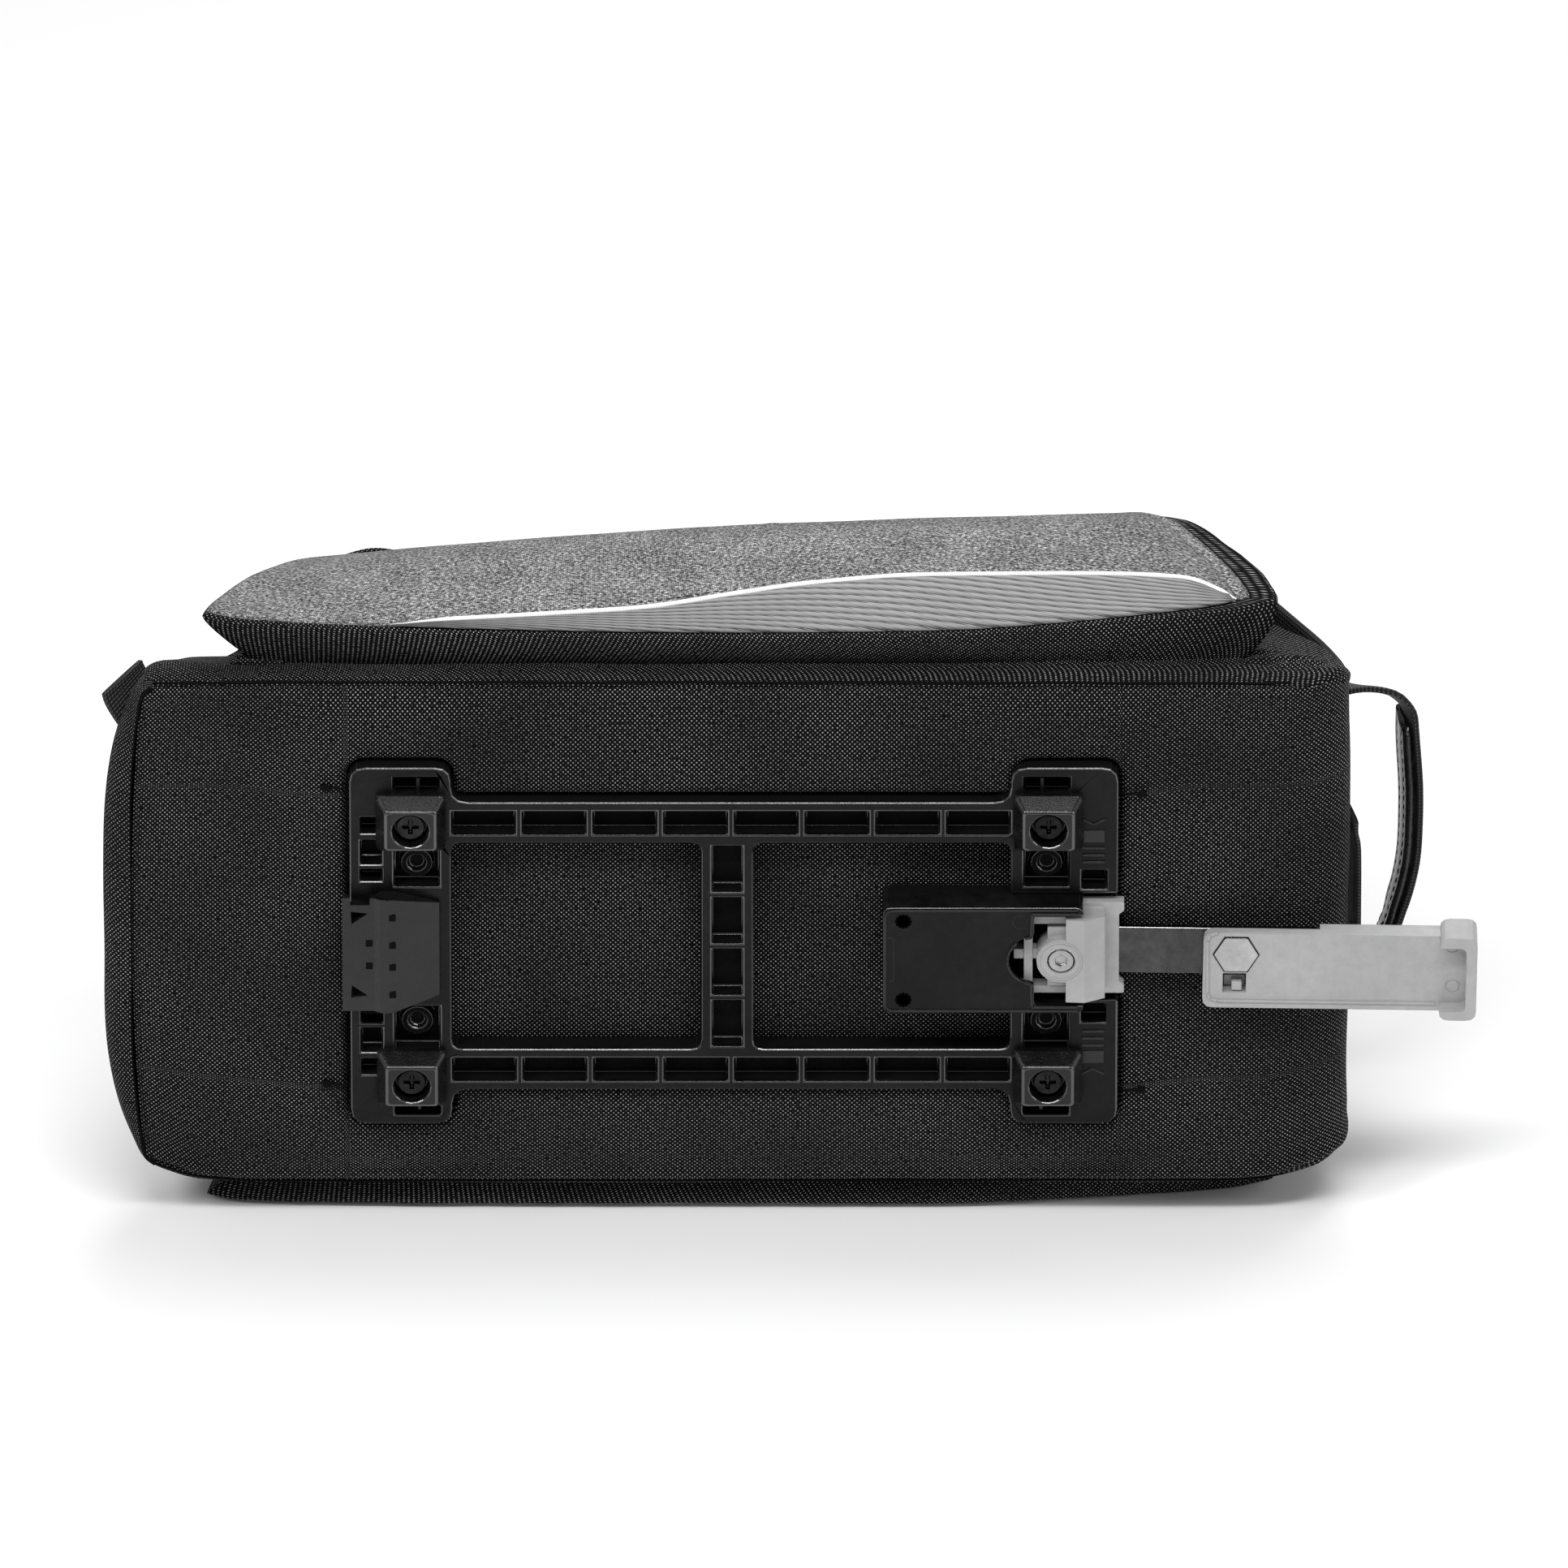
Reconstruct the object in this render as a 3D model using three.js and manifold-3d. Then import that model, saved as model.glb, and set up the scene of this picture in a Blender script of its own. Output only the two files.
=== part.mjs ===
// A bicycle trunk bag lying on its side: a wedge-shaped cloth bag with a lid, a pocket on each
// side, and a hard clamp plate under its base that grips a rear rack.
// Millimetres. +Z is up, +X points to the end with the carry handle, and -Y is the bag's base.
// The bag is built about its own middle plane (Z = 0) with its base panel at Y = 0, and is set
// down on its lower pocket at the end.
import * as THREE from 'three';
import { mergeVertices } from 'three/addons/utils/BufferGeometryUtils.js';
import Module from 'manifold-3d';

const wasm = await Module();
wasm.setup();

// Driving sizes of the cloth bag
const bagLength = 369;
const baseWidth = 171;
const tailHeight = 140;
const noseHeight = 102;
const noseBulge = 12;
const clothWall = 3;
const seamRadius = 5;
const lidSeatGap = 0.3;
const zipTapeWall = 2;
const pullThickness = 3;
const pullLength = 22;
const sliderLength = 9;
const sliderWidth = 8;
const pullWidth = 5;
const pullTabThickness = 1.6;

// Driving sizes of the side pockets
const pocketReach = 104;
const pocketRest = 99;
const pocketWall = 2;
const pocketNearEdge = 8.5;
const pocketFarShare = 0.78;
const pocketNearLeft = 155;
const pocketNearRight = 157.5;
const pocketFarLeft = 126;
const pocketFarRight = 108;
const pocketFootSetback = 8;
const pocketFootOverhang = 17;
const pocketEndRoll = 9;
const pipingRadius = 1.25;

// Driving sizes of the clamp plate and what is screwed to it
const plateLeft = 111.8;
const plateRight = 115.7;
const plateEndWidth = 122;
const plateRailWidth = 98.4;
const plateThickness = 7.7;
const plateEndPiece = 30.2;
const windowWidth = 70.5;
const middlePost = 15.6;
const plateCorner = 5;
const recessDepth = 5.6;
const plateRim = 3.2;
const railRecessHeight = 8;
const railRib = 1.9;
const blockPitchX = 188.6;
const blockPitchZ = 87.4;
const blockRise = 7.8;
const blockShift = 0.7;
const blockLength = 20.6;
const blockWidth = 18.6;
const blockTopLength = 14.8;
const blockTopWidth = 12.8;
const counterboreRadius = 5.4;
const screwHeadRadius = 4.2;
const crossArmWidth = 1.1;
const bossRadius = 5;
const bossBore = 2.6;
const bossPlace = 27;
const endRecessLength = 13.6;
const endRecessHeight = 6.4;
const hookWidth = 38.6;
const hookRise = 6.4;
const hookLip = 2.4;
const hookOverhang = 2.2;
const hookLipLength = 9.6;
const hookStep = 1.6;
const housingLength = 59.3;
const housingWidth = 36;
const housingRise = 8.3;
const housingWall = 2;
const clampTravel = 10;
const housingEndSetback = 10.3;
const mouthLength = 14.6;
const jawBossRadius = 7.3;
const jawBarWidth = 28;
const jawCapLength = 13;
const jawFlangeWidth = 31;
const jawFlangeLength = 18.7;
const jawArmWidth = 2.4;

// Driving sizes of the pull lever
const stripWidth = 15.6;
const stripThickness = 2;
const stripDrop = 1.5;
const handleLength = 81;
const handleWidth = 25.4;
const handleThickness = 6.4;
const handleStart = 141;
const boltAcrossFlats = 11.4;
const boltSetback = 9.7;
const leverPivotReach = 12;
const leverDroopDeg = 0.9;
const handleLipRise = 5.4;
const handleLipLength = 11;
const handleCorner = 3;
const stripGrip = 34;

// Driving sizes of the webbing
const webbingWidth = 22;
const webbingWall = 2.2;
const carrySpan = 122;
const carryReach = 33;
const carryHeight = 64;
const gripPadWidth = 19;
const lightLoopSpan = 56;
const lightLoopWidth = 17;
const lightLoopRise = 3.4;
const lightLoopHeight = 25;
const cornerStrapWidth = 18;
const cornerStrapRise = 7;
const noseTabWidth = 20;
const noseTabReach = 9.5;

// Clearances between separate pieces
const fitGap = 0.3;
const slideGap = 0.5;
const sewnGap = 0.7;

const halfLength = bagLength / 2;
const halfWidth = baseWidth / 2;

// Finishes
const cloth = { color: 0x1b1c1d, roughness: 0.9, metalness: 0 };
const webbing = { color: 0x141414, roughness: 0.8, metalness: 0 };
const heather = { color: 0x6d6f72, roughness: 0.95, metalness: 0 };
const ribbedVinyl = { color: 0x7b7d80, roughness: 0.55, metalness: 0 };
const whitePiping = { color: 0xdedfe0, roughness: 0.5, metalness: 0 };
const glossVinyl = { color: 0x101010, roughness: 0.3, metalness: 0 };
const blackPlastic = { color: 0x161718, roughness: 0.42, metalness: 0 };
const greyPlastic = { color: 0xa9abad, roughness: 0.45, metalness: 0 };
const steel = { color: 0xb8babd, roughness: 0.3, metalness: 1 };
const zipPlastic = { color: 0x0d0d0e, roughness: 0.5, metalness: 0 };

// The bag's height over its base, which grows from the nose to the tail
function heightAt(x) {
  return noseHeight + (tailHeight - noseHeight) * (x + halfLength) / bagLength;
}

// Body sections, from base to top. Height is a share of the local height, nose and tail are
// shares of half the length, width is a share of half the width, bulge a share of the nose bulge.
const bodySections = [
  { height: 0.000, nose: 0.888, tail: 0.867, width: 0.945, bulge: 0.8 },
  { height: 0.009, nose: 0.908, tail: 0.921, width: 0.985, bulge: 0.9 },
  { height: 0.031, nose: 0.925, tail: 0.968, width: 1.000, bulge: 1.0 },
  { height: 0.069, nose: 0.932, tail: 0.994, width: 1.003, bulge: 1.0 },
  { height: 0.110, nose: 0.934, tail: 1.000, width: 0.996, bulge: 1.0 },
  { height: 0.243, nose: 0.905, tail: 0.978, width: 0.958, bulge: 0.9 },
  { height: 0.500, nose: 0.822, tail: 0.888, width: 0.862, bulge: 0.7 },
  { height: 0.800, nose: 0.735, tail: 0.782, width: 0.755, bulge: 0.5 },
];
const zipSections = [
  { height: 0.800, nose: 0.735, tail: 0.782, width: 0.755, bulge: 0.5 },
  { height: 0.840, nose: 0.724, tail: 0.768, width: 0.741, bulge: 0.5 },
];
const lidSections = [
  { height: 0.840, nose: 0.728, tail: 0.772, width: 0.747, bulge: 0.5 },
  { height: 0.900, nose: 0.712, tail: 0.754, width: 0.728, bulge: 0.5 },
  { height: 0.950, nose: 0.690, tail: 0.732, width: 0.690, bulge: 0.4 },
  { height: 0.985, nose: 0.650, tail: 0.695, width: 0.610, bulge: 0.3 },
  { height: 1.000, nose: 0.580, tail: 0.630, width: 0.480, bulge: 0.2 },
];

// Straight-line reading of one column of a table at a given height
function column(table, key, name, at) {
  let i = 1;
  while (i < table.length - 1 && table[i][key] < at) {
    i += 1;
  }
  const low = table[i - 1];
  const high = table[i];
  const t = (at - low[key]) / (high[key] - low[key]);
  return low[name] + (high[name] - low[name]) * t;
}

// Half the body's width at a place, and where its end panels stand
function bodyHalfWidth(x, y) {
  return halfWidth * column(bodySections, 'height', 'width', y / heightAt(x));
}
function tailFace(y) {
  return halfLength * column(bodySections, 'height', 'tail', y / tailHeight);
}
function noseFace(y, z) {
  const share = y / noseHeight;
  const swell = noseBulge * column(bodySections, 'height', 'bulge', share) * (1 - (z / halfWidth) ** 2);
  return -halfLength * column(bodySections, 'height', 'nose', share) - swell;
}

// Closed geometry from points and triangles, with its faces turned outwards
function closedGeometry(points, faces) {
  let volume = 0;
  for (const [a, b, c] of faces) {
    volume += points[a].dot(new THREE.Vector3().crossVectors(points[b], points[c]));
  }
  const index = volume > 0 ? faces.flat() : faces.flatMap(([a, b, c]) => [a, c, b]);
  const geometry = new THREE.BufferGeometry().setFromPoints(points);
  geometry.setIndex(index);
  return geometry;
}

// A solid through rings of equal count, closed at both ends
function loft(rings) {
  const count = rings[0].length;
  const points = rings.flat();
  const faces = [];
  for (let r = 0; r < rings.length - 1; r += 1) {
    for (let i = 0; i < count; i += 1) {
      const j = (i + 1) % count;
      const a = r * count;
      faces.push([a + i, a + j, a + count + i]);
      faces.push([a + j, a + count + j, a + count + i]);
    }
  }
  for (const end of [0, rings.length - 1]) {
    const middle = new THREE.Vector3();
    rings[end].forEach((p) => middle.addScaledVector(p, 1 / count));
    points.push(middle);
    for (let i = 0; i < count; i += 1) {
      const fan = [end * count + i, end * count + (i + 1) % count, points.length - 1];
      faces.push(end === 0 ? [fan[1], fan[0], fan[2]] : fan);
    }
  }
  return closedGeometry(points, faces);
}

// Changes between a geometry and a solid that can be cut
function toSolid(geometry) {
  const plain = geometry.clone();
  plain.deleteAttribute('normal');
  plain.deleteAttribute('uv');
  const merged = mergeVertices(plain, 1e-4);
  return new wasm.Manifold(new wasm.Mesh({
    numProp: 3,
    vertProperties: Float32Array.from(merged.attributes.position.array),
    triVerts: Uint32Array.from(merged.index.array),
  }));
}
function toGeometry(solid) {
  const mesh = solid.getMesh();
  const geometry = new THREE.BufferGeometry();
  geometry.setAttribute('position', new THREE.BufferAttribute(mesh.vertProperties, mesh.numProp));
  geometry.setIndex(new THREE.BufferAttribute(mesh.triVerts, 1));
  return geometry;
}
function cut(geometry, ...tools) {
  return toGeometry(tools.reduce((solid, tool) => solid.subtract(toSolid(tool)), toSolid(geometry)));
}
function join(geometry, ...more) {
  return toGeometry(more.reduce((solid, other) => solid.add(toSolid(other)), toSolid(geometry)));
}
function common(geometry, other) {
  return toGeometry(toSolid(geometry).intersect(toSolid(other)));
}

// A box from its corners
function block(x0, x1, y0, y1, z0, z1) {
  const geometry = new THREE.BoxGeometry(x1 - x0, y1 - y0, z1 - z0);
  geometry.translate((x0 + x1) / 2, (y0 + y1) / 2, (z0 + z1) / 2);
  return geometry;
}

// A flat outline with rounded corners; each corner is [across, up, radius]
function roundedShape(corners, Kind = THREE.Shape) {
  const shape = new Kind();
  corners.forEach(([x, y, radius], i) => {
    const before = corners[(i + corners.length - 1) % corners.length];
    const after = corners[(i + 1) % corners.length];
    const corner = new THREE.Vector2(x, y);
    const back = new THREE.Vector2(before[0] - x, before[1] - y);
    const on = new THREE.Vector2(after[0] - x, after[1] - y);
    const reach = Math.min(radius, back.length() * 0.45, on.length() * 0.45);
    const enter = corner.clone().addScaledVector(back.normalize(), reach);
    const leave = corner.clone().addScaledVector(on.normalize(), reach);
    if (i === 0) {
      shape.moveTo(enter.x, enter.y);
    } else {
      shape.lineTo(enter.x, enter.y);
    }
    if (reach > 0) {
      shape.quadraticCurveTo(x, y, leave.x, leave.y);
    }
  });
  shape.closePath();
  return shape;
}
function rectangle(x0, x1, y0, y1, radius = 0, Kind = THREE.Shape) {
  return roundedShape([[x0, y0, radius], [x1, y0, radius], [x1, y1, radius], [x0, y1, radius]], Kind);
}

// An outline in X and Z, given thickness from front to back along Y
function panel(shape, front, back, curveSegments = 3) {
  const geometry = new THREE.ExtrudeGeometry(shape, {
    depth: back - front, bevelEnabled: false, curveSegments,
  });
  geometry.rotateX(Math.PI / 2);
  geometry.translate(0, back, 0);
  return geometry;
}

// An outline in X and Y, given height along Z
function uprightPanel(shape, low, high, curveSegments = 3) {
  const geometry = new THREE.ExtrudeGeometry(shape, {
    depth: high - low, bevelEnabled: false, curveSegments,
  });
  geometry.translate(0, 0, low);
  return geometry;
}

// A round bar along Y
function pin(x, z, radius, front, back, sides = 16) {
  const geometry = new THREE.CylinderGeometry(radius, radius, back - front, sides);
  geometry.translate(x, (front + back) / 2, z);
  return geometry;
}

// A flat strap along a path; across is the direction of its width
function strap(path, across, width, thickness) {
  const side = across.clone().normalize().multiplyScalar(width / 2);
  const rings = path.map((p, i) => {
    const before = path[Math.max(i - 1, 0)];
    const after = path[Math.min(i + 1, path.length - 1)];
    const along = after.clone().sub(before);
    const out = new THREE.Vector3().crossVectors(along, side).normalize().multiplyScalar(thickness / 2);
    return [
      p.clone().add(side).add(out),
      p.clone().sub(side).add(out),
      p.clone().sub(side).sub(out),
      p.clone().add(side).sub(out),
    ];
  });
  return loft(rings);
}

// One closed line round the body at a section, moved in by inset (out where it is negative)
function bodyRing(section, inset) {
  const nose = -halfLength * section.nose + inset;
  const tail = halfLength * section.tail - inset;
  const side = halfWidth * section.width - inset;
  const radius = Math.max(seamRadius - inset, 1);
  const swell = noseBulge * section.bulge;
  const flat = [];
  const corners = [
    { x: tail - radius, z: side - radius, start: Math.PI / 2 },
    { x: tail - radius, z: -side + radius, start: 0 },
    { x: nose + radius, z: -side + radius, start: -Math.PI / 2 },
    { x: nose + radius, z: side - radius, start: -Math.PI },
  ];
  const along = [2, 4, 6, 4];
  corners.forEach((corner, c) => {
    for (let k = 0; k <= 2; k += 1) {
      const turn = corner.start - k * Math.PI / 4;
      flat.push([corner.x + radius * Math.cos(turn), corner.z + radius * Math.sin(turn)]);
    }
    const from = flat[flat.length - 1];
    const next = corners[(c + 1) % 4];
    const to = [next.x + radius * Math.cos(next.start), next.z + radius * Math.sin(next.start)];
    for (let k = 1; k < along[c]; k += 1) {
      const t = k / along[c];
      flat.push([from[0] + (to[0] - from[0]) * t, from[1] + (to[1] - from[1]) * t]);
    }
  });
  return flat.map(([x, z]) => {
    const atNose = x < nose + radius ? 1 : 0;
    const px = x - atNose * swell * (1 - (z / side) ** 2);
    return new THREE.Vector3(px, section.height * heightAt(px), z);
  });
}

// Cloth tub: base, both ends and both sides in one wall, open at the zip line
function makeBodyShell() {
  const outer = loft(bodySections.map((section) => bodyRing(section, 0)));
  const rim = bodySections[bodySections.length - 1];
  const inside = bodySections.slice(2).map((section) => bodyRing(section, clothWall));
  const floor = inside[0].map((p) => new THREE.Vector3(p.x, clothWall, p.z));
  const mouth = bodyRing({ ...rim, height: rim.height + 0.02 }, clothWall);
  return cut(outer, loft([floor, ...inside.slice(1), mouth]));
}

// The closed outer form of tub and lid, grown by the fitting gap, for cutting what lies on it
function bodyForm() {
  const sections = [...bodySections, ...lidSections];
  const grown = sections.map((section) => bodyRing(section, -fitGap));
  grown[0].forEach((p) => {
    p.y -= fitGap;
  });
  grown[grown.length - 1].forEach((p) => {
    p.y += fitGap;
  });
  return loft(grown);
}

// Zip tape between the tub and the lid
function makeLidZip() {
  const rings = (inset, stretch) => zipSections.map((section, i) => {
    const ring = bodyRing(section, inset);
    const shift = i === 0 ? lidSeatGap - stretch : stretch - lidSeatGap;
    ring.forEach((p) => {
      p.y += shift;
    });
    return ring;
  });
  return cut(loft(rings(0, 0)), loft(rings(zipTapeWall, 2)));
}

// Lid: padded top panel with its sides turned down to the zip
function makeLid() {
  const outer = loft(lidSections.map((section) => bodyRing(section, 0)));
  const inside = lidSections.map((section) => bodyRing(section, clothWall));
  inside.forEach((ring, i) => {
    const last = inside.length - 1;
    ring.forEach((p) => {
      p.y -= i === 0 ? 1 : clothWall * i / last;
    });
  });
  return cut(outer, loft(inside));
}

// Zip slider with its pull tab, lying on the lid's zip in the middle of the nose
function makeZipPull() {
  const share = (zipSections[0].height + zipSections[1].height) / 2;
  const x = -halfLength * (zipSections[0].nose + zipSections[1].nose) / 2 - noseBulge * zipSections[0].bulge;
  const rise = new THREE.Vector3(
    noseFace(0.7 * noseHeight, 0) - noseFace(0.5 * noseHeight, 0), 0.2 * noseHeight, 0,
  ).normalize();
  const out = new THREE.Vector3(-rise.y, rise.x, 0);
  const along = new THREE.Vector3(0, 0, 1);
  const lidStep = halfLength * (lidSections[0].nose - zipSections[1].nose);
  const off = pullThickness / 2 + lidStep + 2 * fitGap;
  const place = new THREE.Vector3(x, share * heightAt(x), 0).addScaledVector(out, off);
  const on = (run, off) => place.clone().addScaledVector(along, run).addScaledVector(out, off);
  const slider = strap([on(-sliderLength / 2, 0), on(sliderLength / 2, 0)], rise, sliderWidth, pullThickness);
  const tab = strap([on(2, 1.2), on(pullLength, 2)], rise, pullWidth, pullTabThickness);
  return join(slider, tab);
}

// Where a pocket face reaches, by share: across from -1 at the base edge to 1 at the far edge.
// Left, middle and right are shares of the pocket's reach from the bag's middle plane.
const pocketProfile = [
  { across: -1.00, left: 0.980, middle: 0.949, right: 0.995 },
  { across: -0.50, left: 0.971, middle: 0.986, right: 1.000 },
  { across: 0.00, left: 0.942, middle: 0.990, right: 1.000 },
  { across: 0.35, left: 0.894, middle: 0.962, right: 0.971 },
  { across: 0.70, left: 0.827, middle: 0.880, right: 0.885 },
  { across: 1.00, left: 0.770, middle: 0.760, right: 0.740 },
];
const pocketCurve = ['left', 'middle', 'right'].map((name) => new THREE.SplineCurve(
  pocketProfile.map((row) => new THREE.Vector2(row.across, row[name])),
));

// The piping's path on the pocket face, in shares along and across the pocket
const pipingRoute = [
  { along: -0.620, across: -1.040 },
  { along: -0.467, across: -0.805 },
  { along: -0.151, across: -0.707 },
  { along: 0.097, across: -0.514 },
  { along: 0.349, across: -0.440 },
  { along: 0.590, across: -0.470 },
  { along: 0.833, across: -0.510 },
  { along: 0.949, across: -0.600 },
  { along: 1.005, across: -0.830 },
];

function mix(a, b, t) {
  return a + (b - a) * t;
}

// A place on the pocket in plan. Foot is 0 at the face and 1 where the pocket meets the bag.
function pocketPlan(along, across, foot = 0) {
  const s = (along + 1) / 2;
  const t = (across + 1) / 2;
  const nearLeft = -pocketNearLeft + pocketFootOverhang * foot;
  const nearRight = pocketNearRight - 4 * foot;
  const x = mix(mix(nearLeft, nearRight, s), mix(-pocketFarLeft, pocketFarRight, s), t);
  const near = pocketNearEdge + pocketFootSetback * foot;
  return new THREE.Vector2(x, mix(near, pocketFarShare * heightAt(x), t));
}

// The outer surface of a pocket face, measured out from the bag's middle plane
function pocketHeight(along, across) {
  const t = Math.min(Math.max((across + 1) / 2, 0), 1);
  const [left, middle, right] = pocketCurve.map((curve) => readCurve(curve, t));
  const a = Math.min(Math.max(along, -1), 1);
  const share = middle + (right - left) / 2 * a + ((right + left) / 2 - middle) * a * a;
  return share * pocketReach;
}
function readCurve(curve, t) {
  const points = curve.points;
  const across = t * 2 - 1;
  let i = 1;
  while (i < points.length - 1 && points[i].x < across) {
    i += 1;
  }
  const u = (across - points[i - 1].x) / (points[i].x - points[i - 1].x);
  return curve.getPoint((i - 1 + u) / (points.length - 1)).y;
}

// The same for one side: the lower pocket is pressed flat where the bag lies on it
function pocketSurface(along, across, side) {
  const out = pocketHeight(along, across);
  return side * (side < 0 ? Math.min(out, pocketRest) : out);
}

// Places round the pocket's rim, with round corners, in shares along and across
const rimPlaces = (() => {
  const outline = roundedShape([
    [-1, -1, 0.22], [1, -1, 0.22], [1, 1, 0.4], [-1, 1, 0.4],
  ]);
  const places = outline.getPoints(4).map((p) => [p.x, p.y]);
  const dense = [];
  places.forEach((p, i) => {
    const q = places[(i + 1) % places.length];
    const span = Math.hypot((q[0] - p[0]) * 150, (q[1] - p[1]) * 45);
    const steps = Math.max(1, Math.round(span / 32));
    for (let k = 0; k < steps && span > 0.01; k += 1) {
      dense.push([mix(p[0], q[0], k / steps), mix(p[1], q[1], k / steps)]);
    }
  });
  return dense;
})();

// One ring of the pocket's side wall. Depth runs from 0 under the face to 1 at the bag.
function gussetRing(side, depth, roll, inset, lift) {
  const foot = Math.min(depth, 1);
  return rimPlaces.map(([along, across]) => {
    const rim = pocketPlan(along, across, foot);
    const middle = pocketPlan(0, 0, foot);
    const away = rim.clone().sub(middle);
    const sideways = Math.abs(along) ** 6 * Math.sign(along) * (along > 0 ? 1 : 0.3);
    rim.x += sideways * pocketEndRoll * roll;
    rim.x -= Math.sign(away.x) * Math.min(Math.abs(along) ** 4, 1) * inset;
    rim.y -= Math.sign(away.y) * Math.min(Math.abs(across) ** 4, 1) * inset;
    const face = Math.abs(pocketSurface(along, across, side)) - pocketWall - sewnGap;
    const skin = bodyHalfWidth(rim.x, rim.y);
    const z = mix(face, skin, depth) + lift;
    return new THREE.Vector3(rim.x, rim.y, side * z);
  });
}

// Gusset: the cloth side wall of a pocket, from the bag's side out to the face
function makeGusset(side, form) {
  const rows = [
    { depth: 1.9, roll: 0 },
    { depth: 1.0, roll: 0 },
    { depth: 0.5, roll: 1 },
    { depth: 0.0, roll: 0 },
  ];
  const outer = loft(rows.map((row) => gussetRing(side, row.depth, row.roll, 0, 0)));
  const inner = loft(rows.map((row, i) => {
    const lift = i === 0 ? -2 : i === rows.length - 1 ? 2 : 0;
    return gussetRing(side, row.depth, row.roll, pocketWall, lift);
  }));
  return cut(outer, inner, form);
}

// A thin curved sheet over the whole pocket face, trimmed to the rim
function pocketSheet(side) {
  const columns = 18;
  const rows = 10;
  const points = [];
  const faces = [];
  for (const drop of [0, pocketWall]) {
    for (let r = 0; r <= rows; r += 1) {
      for (let c = 0; c <= columns; c += 1) {
        const along = mix(-1.03, 1.03, c / columns);
        const across = mix(-1.05, 1.05, r / rows);
        const plan = pocketPlan(along, across);
        points.push(new THREE.Vector3(plan.x, plan.y, pocketSurface(along, across, side) - side * drop));
      }
    }
  }
  const stride = columns + 1;
  const under = stride * (rows + 1);
  for (let r = 0; r < rows; r += 1) {
    for (let c = 0; c < columns; c += 1) {
      const a = r * stride + c;
      faces.push([a, a + 1, a + stride], [a + 1, a + stride + 1, a + stride]);
      const b = a + under;
      faces.push([b, b + stride, b + 1], [b + 1, b + stride, b + stride + 1]);
    }
  }
  const edge = [];
  for (let c = 0; c < columns; c += 1) {
    edge.push([c, c + 1]);
    edge.push([rows * stride + c + 1, rows * stride + c]);
  }
  for (let r = 0; r < rows; r += 1) {
    edge.push([(r + 1) * stride, r * stride]);
    edge.push([r * stride + columns, (r + 1) * stride + columns]);
  }
  edge.forEach(([a, b]) => {
    faces.push([b, a, a + under], [b, a + under, b + under]);
  });
  const rim = rimPlaces.map(([along, across]) => pocketPlan(along, across));
  const trim = new THREE.ExtrudeGeometry(new THREE.Shape(rim), {
    depth: 2 * pocketReach, bevelEnabled: false,
  });
  trim.translate(0, 0, side > 0 ? 0 : -2 * pocketReach);
  return common(closedGeometry(points, faces), trim);
}

// The piping's centre line on one side
function pipingPath(side, samples) {
  const plan = new THREE.SplineCurve(pipingRoute.map((row) => new THREE.Vector2(row.along, row.across)));
  return plan.getPoints(samples).map((p) => {
    const place = pocketPlan(p.x, p.y);
    const out = Math.abs(pocketSurface(p.x, p.y, side));
    const centre = Math.min(out - 0.5, side < 0 ? pocketRest - pipingRadius - 0.1 : Infinity);
    return new THREE.Vector3(place.x, place.y, side * centre);
  });
}

// The pocket face, cut along the piping into the heather panel and the ribbed panel
function makeFacePanels(side) {
  const sheet = pocketSheet(side);
  const path = pipingPath(side, 36);
  const half = pipingRadius + fitGap;
  const left = new THREE.Vector2(-halfLength, path[0].y - 30);
  const right = new THREE.Vector2(halfLength, path[path.length - 1].y - 30);
  const shifted = (offset) => path.map((p, i) => {
    const before = path[Math.max(i - 1, 0)];
    const after = path[Math.min(i + 1, path.length - 1)];
    const along = new THREE.Vector2(after.x - before.x, after.y - before.y).normalize();
    return new THREE.Vector2(p.x - along.y * offset, p.y + along.x * offset);
  });
  const nearSide = new THREE.Shape([left, ...shifted(-half), right]);
  const farCut = new THREE.Shape([left, ...shifted(half), right]);
  const tool = (shape) => {
    const geometry = new THREE.ExtrudeGeometry(shape, { depth: 2 * pocketReach, bevelEnabled: false });
    geometry.translate(0, 0, side > 0 ? 0 : -2 * pocketReach);
    return geometry;
  };
  return { ribbed: common(sheet, tool(nearSide)), heather: cut(sheet, tool(farCut)) };
}

// White piping between the two face panels
function makePiping(side) {
  const curve = new THREE.CatmullRomCurve3(pipingPath(side, 30));
  const section = new THREE.Shape();
  section.absarc(0, 0, pipingRadius, 0, 2 * Math.PI, false);
  return new THREE.ExtrudeGeometry(section, {
    steps: 32, curveSegments: 3, bevelEnabled: false, extrudePath: curve,
  });
}

const plateBack = -fitGap;
const plateFront = plateBack - plateThickness;
const halfEnd = plateEndWidth / 2;
const halfRail = plateRailWidth / 2;
const halfWindow = windowWidth / 2;
const halfPost = middlePost / 2;
const leftInner = -plateLeft + plateEndPiece;
const rightInner = plateRight - plateEndPiece - 1.7;
const housingEnd = plateRight - housingEndSetback;
const housingStart = housingEnd - housingLength;
const housingFront = plateFront - housingRise;
const housingBack = plateBack - 2;
const halfHousing = housingWidth / 2;

// Places of the four clamp blocks
const blockPlaces = [
  { name: 'nose_upper', x: -blockPitchX / 2 + blockShift, z: blockPitchZ / 2 },
  { name: 'nose_lower', x: -blockPitchX / 2 + blockShift, z: -blockPitchZ / 2 },
  { name: 'tail_upper', x: blockPitchX / 2 + blockShift, z: blockPitchZ / 2 },
  { name: 'tail_lower', x: blockPitchX / 2 + blockShift, z: -blockPitchZ / 2 },
];

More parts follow.
